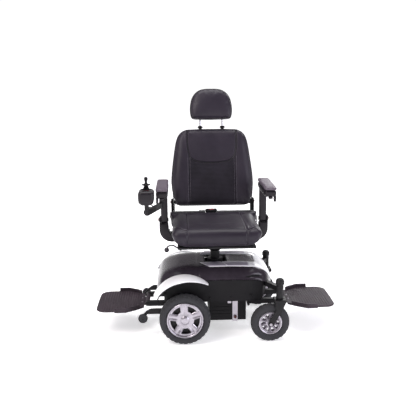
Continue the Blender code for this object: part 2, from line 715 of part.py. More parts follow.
# ---------------------------------------------------------------- chassis
def add_frame(chair):
    """Welded frame: rails, beams, seat tower, caster arms and barrels, anti-tip arms."""
    half = RAIL_SIZE / 2
    beam_half_width = COVER_HALF_WIDTH - COVER_WALL - SKIRT_INSET - GAP
    low, high = RAIL_Z - half, RAIL_Z + half

    frame = box((REAR_BEAM_X - half, -RAIL_Y - half, low), (REAR_BEAM_X + half, RAIL_Y + half, high))
    for _, side in SIDES:
        weld(frame, box((REAR_BEAM_X, side * RAIL_Y - half, low),
                        (FRONT_BEAM_X + half, side * RAIL_Y + half, high)))
    for x in (DRIVE_AXLE_X, STRAP_BEAM_X):
        weld(frame, box((x - half, -beam_half_width, low), (x + half, beam_half_width, high)))
    weld(frame, box((FRONT_BEAM_X - half, -RAIL_Y, low), (FRONT_BEAM_X + half, RAIL_Y, high)))
    weld(frame, box((-half, -RAIL_Y, low), (half, RAIL_Y, high)))

    collar_low, collar_radius = TOWER_TOP - COLLAR_HEIGHT, TOWER_RADIUS + COLLAR_WALL
    tower = turned([(0, TOWER_BOTTOM), (TOWER_RADIUS, TOWER_BOTTOM), (TOWER_RADIUS, collar_low),
                    (collar_radius, collar_low), (collar_radius, TOWER_TOP), (0, TOWER_TOP)],
                   "Z", (0, 0, 0), 24)
    weld(frame, tower)
    cut(frame, rod((0, 0, TOWER_BOTTOM + TOWER_FLOOR), (0, 0, TOWER_TOP + OVERSHOOT),
                   POST_RADIUS + RUNNING_GAP, 24))

    for _, side in SIDES:
        start, end = caster_arm_line(side)
        weld(frame, beam(start, end, RAIL_SIZE, RAIL_SIZE))
        barrel = turned([(0, CROWN_TOP + TURNING_GAP), (BARREL_RADIUS, CROWN_TOP + TURNING_GAP),
                         (BARREL_RADIUS, BARREL_TOP - 0.022), (BARREL_RADIUS + 0.004, BARREL_TOP - 0.018),
                         (BARREL_RADIUS + 0.004, BARREL_TOP - 0.004),
                         (BARREL_RADIUS - 0.002, BARREL_TOP + 0.007),
                         (0.008, BARREL_TOP + 0.012), (0, BARREL_TOP + 0.013)],
                        "Z", (CASTER_PIVOT_X, side * CASTER_TRACK, 0), 20)
        weld(frame, barrel)
        cut(frame, rod((CASTER_PIVOT_X, side * CASTER_TRACK, CROWN_TOP - 0.01),
                       (CASTER_PIVOT_X, side * CASTER_TRACK, BARREL_TOP - 0.012),
                       CASTER_STEM_RADIUS + RUNNING_GAP, 20))
        motor_mount_top = DRIVE_RADIUS + GEARBOX_RADIUS + GAP
        mount_x, mount_y = MOTOR_MOUNT_HALF
        weld(frame, box((DRIVE_AXLE_X - mount_x, side * MOTOR_MOUNT_Y - mount_y, motor_mount_top),
                        (DRIVE_AXLE_X + mount_x, side * MOTOR_MOUNT_Y + mount_y, low + 0.005)))
        inner, outer = sorted((side * RAIL_Y, side * (ANTI_TIP_Y + ANTI_TIP_HALF)))
        weld(frame, box((REAR_BEAM_X - half, inner, low), (REAR_BEAM_X + half, outer, high)))
        arm_in, arm_out = side * ANTI_TIP_Y - ANTI_TIP_HALF, side * ANTI_TIP_Y + ANTI_TIP_HALF
        arm_low, arm_high = ANTI_TIP_Z
        weld(frame, box((REAR_BEAM_X - half, arm_in, arm_low), (REAR_BEAM_X + half, arm_out, low + 0.005)))
        arm = [(REAR_BEAM_X - 0.01, arm_low), (REAR_BEAM_X - 0.01, arm_high),
               (ROLLER_X + 0.042, arm_high), (ROLLER_X + 0.019, arm_high - 0.012)]
        arm += arc((ROLLER_X, ROLLER_Z), ANTI_TIP_EYE, 140, 340, 7)
        arm += [(ROLLER_X + 0.022, arm_low)]
        weld(frame, prism(arm, "Y", arm_in, arm_out))
        pin_start = side * (ANTI_TIP_Y + ANTI_TIP_HALF / 2)
        pin_end = side * (ANTI_TIP_Y + ANTI_TIP_HALF + TURNING_GAP + ROLLER_WIDTH + 0.003)
        weld(frame, rod((ROLLER_X, pin_start, ROLLER_Z), (ROLLER_X, pin_end, ROLLER_Z), ROLLER_PIN))
    reach = FOOT_PLATE_HALF_WIDTH + 0.005
    for x in (REAR_BEAM_X + half - FOOT_PLATE_WALL, FOOT_FRONT_PLATE_X - FOOT_PLATE_WALL):
        weld(frame, box((x, -reach, FOOT_HINGE_Z - 0.018), (x + FOOT_PLATE_WALL, reach, low + 0.005)))
    weld(frame, box((FOOT_FRONT_PLATE_X - FOOT_PLATE_WALL, -reach, low), (FRONT_BEAM_X, reach, low + 0.008)))
    chair.add(frame, "chassis_frame", "black_steel", "chassis")


def add_power(chair):
    """Battery box with its strap, two batteries, motors and the power module."""
    case = box((BOX_X[0], -BOX_HALF_WIDTH, BOX_Z[0]), (BOX_X[1], BOX_HALF_WIDTH, BOX_Z[1]), 0.004)
    cut(case, box((BOX_X[0] + BOX_WALL, -BOX_HALF_WIDTH + BOX_WALL, BOX_Z[0] + BOX_WALL),
                  (BOX_X[1] - BOX_WALL, BOX_HALF_WIDTH - BOX_WALL, BOX_Z[1] + 0.05)))
    chair.add(case, "battery_box", "black_plastic", "chassis")
    floor = BOX_Z[0] + BOX_WALL + GAP
    for label, side in SIDES:
        inner, outer = side * 0.0015, side * (BOX_HALF_WIDTH - BOX_WALL - 0.002)
        battery = box((BOX_X[0] + BOX_WALL + 0.001, min(inner, outer), floor),
                      (BOX_X[1] - BOX_WALL - 0.001, max(inner, outer), floor + BATTERY_HEIGHT), 0.004)
        chair.add(battery, "battery_" + label, "grey_case", "chassis")

    reach = BOX_HALF_WIDTH + GAP
    outer = reach + STRAP_THICKNESS
    top = RAIL_Z - RAIL_SIZE / 2 - GAP
    bottom = BOX_Z[0] - GAP
    band = [(-outer, top), (-outer, bottom - STRAP_THICKNESS), (outer, bottom - STRAP_THICKNESS),
            (outer, top), (reach, top), (reach, bottom), (-reach, bottom), (-reach, top)]
    strap = prism(band, "X", STRAP_BEAM_X - STRAP_WIDTH / 2, STRAP_BEAM_X + STRAP_WIDTH / 2)
    for _, side in SIDES:
        bolt_x, bolt_z = STRAP_BEAM_X + 0.001, BOX_Z[0] + 0.022
        join(strap, rod((bolt_x, side * (outer - 0.001), bolt_z),
                        (bolt_x, side * (outer + STRAP_BOLT_HEAD), bolt_z), STRAP_BOLT_RADIUS, 12))
    chair.add(strap, "battery_strap", "zinc", "chassis")

    for label, side in SIDES:
        face = COVER_HALF_WIDTH - GEARBOX_INSET
        start, end = MOTOR_Y
        unit = turned([(0, side * start), (MOTOR_RADIUS, side * start), (MOTOR_RADIUS, side * end),
                       (GEARBOX_RADIUS, side * (end + 0.002)), (GEARBOX_RADIUS, side * (face - 0.004)),
                       (GEARBOX_RADIUS - 0.004, side * face), (0, side * face)],
                      "Y", (DRIVE_AXLE_X, 0, DRIVE_RADIUS), 24)
        cut(unit, rod((DRIVE_AXLE_X, side * (face - SHAFT_BORE_DEPTH), DRIVE_RADIUS),
                      (DRIVE_AXLE_X, side * (face + OVERSHOOT), DRIVE_RADIUS),
                      DRIVE_SHAFT_RADIUS + RUNNING_GAP, 20))
        chair.add(unit, "gear_motor_" + label, "black_steel", "chassis")

    rail_top = RAIL_Z + RAIL_SIZE / 2 + GAP
    module = box((MODULE_X[0], -MODULE_HALF_WIDTH, rail_top),
                 (MODULE_X[1], MODULE_HALF_WIDTH, rail_top + MODULE_HEIGHT), 0.005)
    chair.add(module, "power_module", "zinc", "chassis")


def add_foot(chair, label, way):
    """Bracket with a hinge pin and a ribbed flip-up footplate; way is -1 or +1 along X."""
    low, high = FOOT_HINGE_Z - FOOT_ARM_HEIGHT / 2, FOOT_HINGE_Z + FOOT_ARM_HEIGHT / 2
    base = REAR_BEAM_X + RAIL_SIZE / 2 - FOOT_PLATE_WALL - GAP if way < 0 else FOOT_FRONT_PLATE_X + GAP
    hinge = way * FOOT_HINGE_X
    near, far = sorted((base, base + way * FOOT_PLATE_WALL))
    plate = box((near, -FOOT_PLATE_HALF_WIDTH, low - 0.004), (far, FOOT_PLATE_HALF_WIDTH, high + 0.02))
    for side in (-1, 1):
        arm = [(base + way * FOOT_PLATE_WALL / 2, low), (base + way * FOOT_PLATE_WALL / 2, high)]
        arm += arc((hinge, FOOT_HINGE_Z), FOOT_ARM_HEIGHT / 2, 90, 90 - way * 180, 9)
        y = side * FOOT_ARM_Y
        join(plate, prism(arm, "Y", y - FOOT_ARM_WIDTH / 2, y + FOOT_ARM_WIDTH / 2))
    join(plate, rod((hinge, -FOOT_ARM_Y, FOOT_HINGE_Z), (hinge, FOOT_ARM_Y, FOOT_HINGE_Z), FOOT_PIN))
    chair.add(plate, "foot_bracket_" + label, "black_steel", "chassis")

    body = "footplate_" + label
    chair.body(body, (hinge, 0, FOOT_HINGE_Z), "chassis")
    top = FOOT_HINGE_Z - FOOT_TREAD_DROP
    root = FOOT_HINGE_X + 0.019
    tip, wide, narrow = FOOT_TIP_X, FOOT_HALF_WIDTH, FOOT_ROOT_HALF_WIDTH
    flank = [(root, narrow), (root + 0.045, narrow + 0.036), (root + 0.095, wide)]
    flank += [(tip - 0.105, wide), (tip - 0.098, wide - 0.012)]
    flank += arc((tip - 0.055, wide - 0.067), 0.055, 90, 15, 6)
    flank += [(tip, 0.03)]
    outline = flank + [(x, -y) for x, y in reversed(flank)]
    tread = prism([(way * x, y) for x, y in outline], "Z", top - FOOT_THICKNESS, top, 0.002, 1)
    for side in (-1, 1):
        rim = [(root + 0.02, narrow + 0.015), (root + 0.045, narrow + 0.035), (root + 0.095, wide - 0.001),
               (tip - 0.105, wide - 0.001)]
        lip = rim + [(x, y - FOOT_LIP_WALL) for x, y in reversed(rim)]
        join(tread, prism([(way * x, side * y) for x, y in lip], "Z", top - 0.004, top + FOOT_LIP_HEIGHT))
    knuckle_half = FOOT_ARM_Y - FOOT_ARM_WIDTH / 2 - TURNING_GAP
    join(tread, rod((hinge, -knuckle_half, FOOT_HINGE_Z), (hinge, knuckle_half, FOOT_HINGE_Z),
                    FOOT_KNUCKLE_RADIUS, 20))
    near, far = sorted((hinge, way * (root + 0.012)))
    join(tread, box((near, -knuckle_half, top - FOOT_THICKNESS + 0.001), (far, knuckle_half, top - 0.001)))
    cut(tread, rod((hinge, -0.1, FOOT_HINGE_Z), (hinge, 0.1, FOOT_HINGE_Z), FOOT_PIN + RUNNING_GAP))
    chair.add(tread, "footplate_" + label, "black_plastic", body)


# ---------------------------------------------------------------- wheels
def tyre_profile(radius, rim_radius, width):
    """Cross-section of a tyre: a flat seat on the rim, round shoulders and a full tread."""
    half = width / 2
    wall = radius - rim_radius
    right = [(rim_radius, half * 0.70), (rim_radius + wall * 0.45, half),
             (rim_radius + wall * 0.86, half * 0.76), (radius, half * 0.30)]
    return right + [(r, -h) for r, h in reversed(right)]


def wedge(inner, outer, angle, spread, taper):
    """Window between two spokes, as an outline about the wheel's centre."""
    points = []
    for a in np.linspace(angle - spread, angle + spread, 3):
        points.append((outer * math.cos(a), outer * math.sin(a)))
    for a in (angle + spread * taper, angle - spread * taper):
        points.append((inner * math.cos(a), inner * math.sin(a)))
    return points


def add_drive_wheels(chair):
    """Tyre, five-spoke rim and axle with its hub cap on each side."""
    rim_radius = DRIVE_RIM_RADIUS - GAP
    for label, side in SIDES:
        body = "drive_wheel_" + label
        centre = Vector((DRIVE_AXLE_X, side * DRIVE_TRACK, DRIVE_RADIUS))
        chair.body(body, centre, "chassis")
        tyre = turned(tyre_profile(DRIVE_RADIUS, DRIVE_RIM_RADIUS, DRIVE_WIDTH), "Y", centre, DRIVE_FACETS)
        chair.add(tyre, "drive_tyre_" + label, "tyre_rubber", body, 60)

        face, back, hub = side * DRIVE_RIM_FACE, -side * DRIVE_HUB_BACK, side * DRIVE_HUB_FACE
        bore = DRIVE_SHAFT_RADIUS + RUNNING_GAP
        profile = [(bore, hub), (0.026, hub), (0.080, side * 0.016), (0.085, face),
                   (0.092, face + side * 0.002), (rim_radius, side * 0.024), (rim_radius, back),
                   (0.088, back), (0.084, side * 0.004), (0.030, side * 0.004), (0.022, back), (bore, back)]
        rim = turned(profile, "Y", centre, DRIVE_FACETS)
        for i in range(DRIVE_SPOKES):
            angle = math.radians(58) + 2 * math.pi * i / DRIVE_SPOKES
            window = [(centre.x + u, centre.z + v) for u, v in wedge(*DRIVE_WINDOW, angle, 0.36, 0.62)]
            cut(rim, prism(window, "Y", centre.y - 0.04, centre.y + 0.04))
        chair.add(rim, "drive_rim_" + label, "silver_paint", body, 40)

        gearbox_face = COVER_HALF_WIDTH - GEARBOX_INSET - DRIVE_TRACK
        end, collar = side * (gearbox_face - SHAFT_BORE_DEPTH + 0.002), side * (gearbox_face + TURNING_GAP)
        cap = hub + side * GAP
        shaft = [(0, end), (DRIVE_SHAFT_RADIUS, end), (DRIVE_SHAFT_RADIUS, collar),
                 (DRIVE_COLLAR_RADIUS, collar), (DRIVE_COLLAR_RADIUS, back - side * GAP),
                 (DRIVE_SHAFT_RADIUS, back - side * GAP), (DRIVE_SHAFT_RADIUS, cap), (0.024, cap),
                 (0.023, hub + side * 0.006), (0.012, hub + side * 0.009), (0, hub + side * 0.0095)]
        chair.add(turned(shaft, "Y", centre, 20), "drive_axle_" + label, "silver_paint", body, 40)


def add_casters(chair):
    """Swivel fork, axle bolt, tyre and spoked rim on each side, trailing towards -X."""
    axle_x = CASTER_PIVOT_X - CASTER_TRAIL
    rim_radius = CASTER_RIM_RADIUS - GAP
    leg_inner = CASTER_WIDTH / 2 + CASTER_LEG_GAP
    leg_outer = leg_inner + CASTER_LEG_THICKNESS
    bore = CASTER_BOLT_RADIUS + RUNNING_GAP
    for label, side in SIDES:
        y = side * CASTER_TRACK
        swivel = "caster_" + label
        chair.body(swivel, (CASTER_PIVOT_X, y, CROWN_TOP), "chassis")
        crown_low = CROWN_TOP - CROWN_THICKNESS
        fork = box((CASTER_PIVOT_X - 0.030, y - leg_outer, crown_low),
                   (CASTER_PIVOT_X + 0.032, y + leg_outer, CROWN_TOP), 0.003, 1)
        join(fork, rod((CASTER_PIVOT_X, y, CROWN_TOP - 0.004), (CASTER_PIVOT_X, y, BARREL_TOP - 0.014),
                       CASTER_STEM_RADIUS, 20))
        leg = arc((axle_x, CASTER_RADIUS), CASTER_EYE, 160, 330, 8)
        leg += [(CASTER_PIVOT_X + 0.006, 0.168), (CASTER_PIVOT_X + 0.029, crown_low + 0.003),
                (CASTER_PIVOT_X - 0.027, crown_low + 0.003), (CASTER_PIVOT_X - 0.022, 0.178)]
        for way in (-1, 1):
            inner, outer = sorted((y + way * leg_inner, y + way * leg_outer))
            join(fork, prism(leg, "Y", inner, outer))
        cut(fork, rod((axle_x, y - 0.06, CASTER_RADIUS), (axle_x, y + 0.06, CASTER_RADIUS), bore))
        chair.add(fork, "caster_fork_" + label, "black_steel", swivel)

        head = leg_outer + GAP
        tip = head + BOLT_HEAD_HEIGHT
        bolt = [(0, -tip), (BOLT_HEAD_RADIUS, -tip), (BOLT_HEAD_RADIUS, -head), (CASTER_BOLT_RADIUS, -head),
                (CASTER_BOLT_RADIUS, head), (BOLT_HEAD_RADIUS, head), (BOLT_HEAD_RADIUS, tip), (0, tip)]
        chair.add(turned(bolt, "Y", (axle_x, y, CASTER_RADIUS), 16), "caster_axle_" + label, "zinc", swivel)

        wheel = "caster_wheel_" + label
        centre = (axle_x, y, CASTER_RADIUS)
        chair.body(wheel, centre, swivel)
        profile = tyre_profile(CASTER_RADIUS, CASTER_RIM_RADIUS, CASTER_WIDTH)
        tyre = turned(profile, "Y", centre, CASTER_FACETS)
        chair.add(tyre, "caster_tyre_" + label, "tyre_rubber", wheel, 60)
        hub_half = leg_inner - TURNING_GAP
        profile = [(bore, hub_half), (0.014, hub_half), (0.016, 0.017), (0.052, 0.016), (0.055, 0.019),
                   (rim_radius, 0.014), (rim_radius, -0.014), (0.055, -0.019), (0.052, -0.016),
                   (0.016, -0.017), (0.014, -hub_half), (bore, -hub_half)]
        rim = turned(profile, "Y", centre, CASTER_FACETS)
        for i in range(CASTER_SPOKES):
            angle = 2 * math.pi * i / CASTER_SPOKES
            window = [(axle_x + u, CASTER_RADIUS + v) for u, v in wedge(*CASTER_WINDOW, angle, 0.21, 0.75)]
            cut(rim, prism(window, "Y", y - 0.03, y + 0.03))
        chair.add(rim, "caster_rim_" + label, "silver_paint", wheel, 40)


def add_rollers(chair):
    """Anti-tip rollers on the pins of the frame's rear arms."""
    for label, side in SIDES:
        y = side * (ANTI_TIP_Y + ANTI_TIP_HALF + TURNING_GAP + ROLLER_WIDTH / 2)
        body = "anti_tip_roller_" + label
        chair.body(body, (ROLLER_X, y, ROLLER_Z), "chassis")
        half = ROLLER_WIDTH / 2
        bore = ROLLER_PIN + RUNNING_GAP
        profile = [(bore, half), (0.021, half), (ROLLER_RADIUS, half - 0.004),
                   (ROLLER_RADIUS, 0.004 - half), (0.021, -half), (bore, -half)]
        chair.add(turned(profile, "Y", (ROLLER_X, y, ROLLER_Z), 18), body, "tyre_rubber", body, 40)


# ---------------------------------------------------------------- seat
def add_seat_base(chair):
    """Post, swivelling pan with hinge ears, cushion and the swivel lever."""
    foot = TOWER_BOTTOM + TOWER_FLOOR + GAP
    post = turned([(0, foot), (POST_RADIUS, foot), (POST_RADIUS, SWIVEL_Z - 0.030),
                   (SWIVEL_PLATE_RADIUS, SWIVEL_Z - 0.010),
                   (SWIVEL_PLATE_RADIUS, SWIVEL_Z), (SPIGOT_RADIUS, SWIVEL_Z),
                   (SPIGOT_RADIUS, PAN_Z - 0.006), (0, PAN_Z - 0.006)], "Z", (0, 0, 0), 24)
    chair.add(post, "seat_post", "black_steel", "chassis")

    chair.body("seat", (0, 0, SWIVEL_Z), "chassis")
    top = PAN_Z + PAN_THICKNESS
    pan = box((-PAN_HALF_WIDTH, PAN_Y[0], PAN_Z), (PAN_HALF_WIDTH, PAN_Y[1], top), 0.002, 1)
    hub = [(0, SWIVEL_Z + GAP), (SWIVEL_PLATE_RADIUS, SWIVEL_Z + GAP), (SWIVEL_PLATE_RADIUS, PAN_Z - 0.012),
           (SWIVEL_PLATE_RADIUS + 0.02, PAN_Z + 0.002), (0, PAN_Z + 0.002)]
    join(pan, turned(hub, "Z", (0, 0, 0), 24))
    cut(pan, rod((0, 0, SWIVEL_Z - 0.01), (0, 0, PAN_Z - 0.004), SPIGOT_RADIUS + RUNNING_GAP, 24))
    for side in (-1, 1):
        inner, outer = sorted((side * EAR_X, side * (EAR_X + EAR_THICKNESS)))
        tab_in, tab_out = sorted((side * (PAN_HALF_WIDTH - 0.03), side * (EAR_X + EAR_THICKNESS)))
        join(pan, box((tab_in, PAN_Y[1] - 0.03, PAN_Z), (tab_out, PAN_Y[1] + 0.030, top)))
        ear = [(PAN_Y[1] + 0.002, PAN_Z), (PAN_Y[1] + 0.030, PAN_Z),
               (BACK_HINGE_Y + EAR_RADIUS, BACK_HINGE_Z - 0.03)]
        ear += arc((BACK_HINGE_Y, BACK_HINGE_Z), EAR_RADIUS, 0, 180, 9)
        ear += [(BACK_HINGE_Y - EAR_RADIUS, BACK_HINGE_Z - 0.03)]
        join(pan, prism(ear, "X", inner, outer))
        pin = sorted((side * (EAR_X + 0.002), side * (EAR_X - 0.009)))
        join(pan, rod((pin[0], BACK_HINGE_Y, BACK_HINGE_Z), (pin[1], BACK_HINGE_Y, BACK_HINGE_Z), BACK_PIN))
        anchor = sorted((side * (PAN_HALF_WIDTH - 0.01), side * (CUSHION_HALF_WIDTH + 0.0012)))
        join(pan, box((anchor[0], BELT_Y - 0.012, PAN_Z), (anchor[1], BELT_Y + 0.012, PAN_Z + 0.010)))
    left, right, lug_top = LEVER_X - LEVER_LUG_RADIUS, LEVER_X + LEVER_LUG_RADIUS, PAN_Z + 0.002
    for low in (-LEVER_LUG_OUTER, LEVER_LUG_OUTER - LEVER_LUG_WALL):
        lug = [(left, LEVER_Z), (left, lug_top), (right, lug_top), (right, LEVER_Z)]
        lug += arc((LEVER_X, LEVER_Z), LEVER_LUG_RADIUS, 0, -180, 7)[1:-1]
        join(pan, prism(lug, "Y", LEVER_Y + low, LEVER_Y + low + LEVER_LUG_WALL))
    pin = LEVER_LUG_OUTER - 0.002
    join(pan, rod((LEVER_X, LEVER_Y - pin, LEVER_Z), (LEVER_X, LEVER_Y + pin, LEVER_Z), LEVER_PIN, 12))
    chair.add(pan, "seat_pan", "black_steel", "seat")

    cushion = box((-CUSHION_HALF_WIDTH, CUSHION_Y[0], CUSHION_Z[0]),
                  (CUSHION_HALF_WIDTH, CUSHION_Y[1], CUSHION_Z[1]), CUSHION_ROUND, 3)
    reach = CUSHION_HALF_WIDTH + OVERSHOOT
    cut(cushion, box((-reach, CUSHION_SEAM_Y - CUSHION_SEAM, CUSHION_Z[1] - CUSHION_SEAM),
                     (reach, CUSHION_SEAM_Y + CUSHION_SEAM, CUSHION_Z[1] + OVERSHOOT)))
    chair.add(cushion, "seat_cushion", "vinyl", "seat", 60)

    chair.body("swivel_lever", (LEVER_X, LEVER_Y, LEVER_Z), "seat")
    route = [(LEVER_X - 0.004, LEVER_Y, LEVER_Z), (LEVER_X - 0.020, LEVER_Y, LEVER_Z + 0.006)]
    route += [(x, LEVER_Y, z) for x, z in LEVER_REACH]
    lever = bent_bar(smooth_curve(route, 2), LEVER_ROD)
    boss = LEVER_LUG_OUTER - LEVER_LUG_WALL - TURNING_GAP
    join(lever, rod((LEVER_X, LEVER_Y - boss, LEVER_Z), (LEVER_X, LEVER_Y + boss, LEVER_Z), LEVER_BOSS))
    knob = [(0, -KNOB_RADIUS)] + arc((0, 0), KNOB_RADIUS, -65, 65, 6) + [(0, KNOB_RADIUS)]
    join(lever, turned(knob, "Z", (KNOB_CENTRE[0], LEVER_Y, KNOB_CENTRE[1]), 12))
    cut(lever, rod((LEVER_X, LEVER_Y - boss - OVERSHOOT, LEVER_Z),
                   (LEVER_X, LEVER_Y + boss + OVERSHOOT, LEVER_Z), LEVER_PIN + RUNNING_GAP, 12))
    chair.add(lever, "swivel_lever", "black_plastic", "swivel_lever")


def tilted(made):
    """Lean a solid of the backrest's upright frame back about the hinge and put it in place."""
    lean = Matrix.Rotation(-BACK_TILT, 4, "X")
    made.data.transform(Matrix.Translation((0, BACK_HINGE_Y, BACK_HINGE_Z)) @ lean)
    return made


def back_outline():
    """Backrest seen from the front, as (x, height) points: wide at the elbows, round shoulders."""
    right = smooth_curve([(0.205, BACK_BOTTOM), (0.232, BACK_BOTTOM + 0.030), (BACK_HALF_WIDTH, 0.110),
                          (0.236, 0.200), (0.222, 0.300), (0.206, 0.370), (BACK_TOP_HALF_WIDTH, 0.408)], 2)
    right = [(p[0], p[1]) for p in right] + [(0.140, BACK_TOP - 0.002), (0.070, BACK_TOP)]
    return right + [(-x, z) for x, z in reversed(right)]


def add_back(chair):
    """Back frame with guide sleeves, back cushion, headrest posts and pad."""
    chair.body("back", (0, BACK_HINGE_Y, BACK_HINGE_Z), "seat")
    post_y = -(BACK_FRONT + BACK_REAR) / 2 - 0.002
    sleeve_low = BACK_TOP - SLEEVE_LENGTH

    frame = prism([(x * 0.93, 0.004 + (z - 0.004) * 0.96) for x, z in back_outline() if z > 0.0],
                  "Y", -BACK_REAR + GAP, -BACK_REAR + GAP + PANEL_THICKNESS)
    lip = EAR_X - TURNING_GAP
    for side in (-1, 1):
        inner, outer = sorted((side * (lip - CHEEK_THICKNESS), side * lip))
        cheek = arc((0, 0), CHEEK_RADIUS, 180, 360, 9)
        cheek += [(CHEEK_RADIUS, 0.02), (0.040, 0.06), (0.040, 0.10), (-BACK_REAR, 0.10),
                  (-BACK_REAR - 0.02, 0.05), (-CHEEK_RADIUS, 0.02)]
        weld(frame, prism(cheek, "X", inner, outer))
        cut(frame, rod((side * (lip - 0.02), 0, 0), (side * (lip + 0.02), 0, 0), BACK_PIN + RUNNING_GAP))
        x = side * POST_X
        bore = HEAD_POST_RADIUS + RUNNING_GAP
        bush = BACK_TOP + 0.0035
        sleeve = turned([(bore, sleeve_low), (SLEEVE_RADIUS, sleeve_low), (SLEEVE_RADIUS, bush),
                         (0.014, bush), (0.013, bush + 0.0055), (0.009, bush + 0.0085),
                         (bore, bush + 0.0085)], "Z", (x, post_y, 0), 16)
        weld(sleeve, box((x - 0.006, post_y + SLEEVE_RADIUS - 0.002, sleeve_low + 0.01),
                         (x + 0.006, -BACK_REAR + 0.003, BACK_TOP - 0.02)))
        weld(frame, sleeve)
    chair.add(tilted(frame), "back_frame", "black_plastic", "back")

    cushion = prism(back_outline(), "Y", -BACK_FRONT, -BACK_REAR, 0.026, 3)
    for side in (-1, 1):
        x = side * POST_X
        cut(cushion, rod((x, post_y, sleeve_low - 0.02), (x, post_y, BACK_TOP + 0.03),
                         SLEEVE_RADIUS + 0.001, 16))
        cut(cushion, box((x - 0.0075, post_y, sleeve_low - 0.01),
                         (x + 0.0075, -BACK_REAR + OVERSHOOT, BACK_TOP + 0.03)))
        inner, outer = sorted((side * (lip - CHEEK_THICKNESS - 0.004), side * (BACK_HALF_WIDTH + 0.02)))
        cut(cushion, box((inner, -0.019, BACK_BOTTOM - 0.03), (outer, 0.05, 0.104)))
        kerf_in, kerf_out = sorted((side * (EAR_X - EAR_KERF), side * (EAR_X + EAR_THICKNESS + EAR_KERF)))
        rear, front = -EAR_RADIUS - 0.001, -BACK_FRONT - 0.006
        swept = [(rear, 0.019), (front, -0.005), (front, BACK_BOTTOM - 0.03), (rear, BACK_BOTTOM - 0.03)]
        cut(cushion, prism(swept, "X", kerf_in, kerf_out))
    chair.add(tilted(cushion), "back_cushion", "vinyl", "back", 60)

    chair.body("headrest", Vector((0, BACK_HINGE_Y, BACK_HINGE_Z))
               + Matrix.Rotation(-BACK_TILT, 3, "X") @ Vector((0, post_y, HEAD_BOTTOM)), "back")
    top = HEAD_BOTTOM + HEAD_LOOP
    rise = [(POST_X, sleeve_low + 0.045), (POST_X, top - 0.008), (POST_X - 0.003, top - 0.002),
            (POST_X - 0.010, top)]
    loop = [(-x, post_y, z) for x, z in rise] + [(x, post_y, z) for x, z in reversed(rise)]
    posts = bent_bar(loop, HEAD_POST_RADIUS, 3)
    chair.add(tilted(posts), "headrest_posts", "zinc", "headrest")
    dome = ((0.105, 0.0), (0.122, 0.012), (HEAD_HALF_WIDTH, 0.070), (0.117, 0.125), (0.080, 0.168),
            (0.035, HEAD_HEIGHT - 0.003))
    shape = smooth_curve([(x, HEAD_BOTTOM + z) for x, z in dome], 2)
    half = [(p[0], p[1]) for p in shape]
    outline = half + [(-x, z) for x, z in reversed(half)]
    pad = prism(outline, "Y", post_y - HEAD_DEPTH * 0.62, post_y + HEAD_DEPTH * 0.38, 0.026, 3)
    slot_top = top + HEAD_POST_RADIUS + GAP
    reach = POST_X + HEAD_POST_RADIUS + GAP
    cut(pad, box((-reach, post_y - HEAD_POST_RADIUS - GAP, HEAD_BOTTOM - 0.05),
                 (reach, post_y + HEAD_POST_RADIUS + GAP, slot_top)))
    chair.add(tilted(pad), "headrest_pad", "vinyl", "headrest", 60)


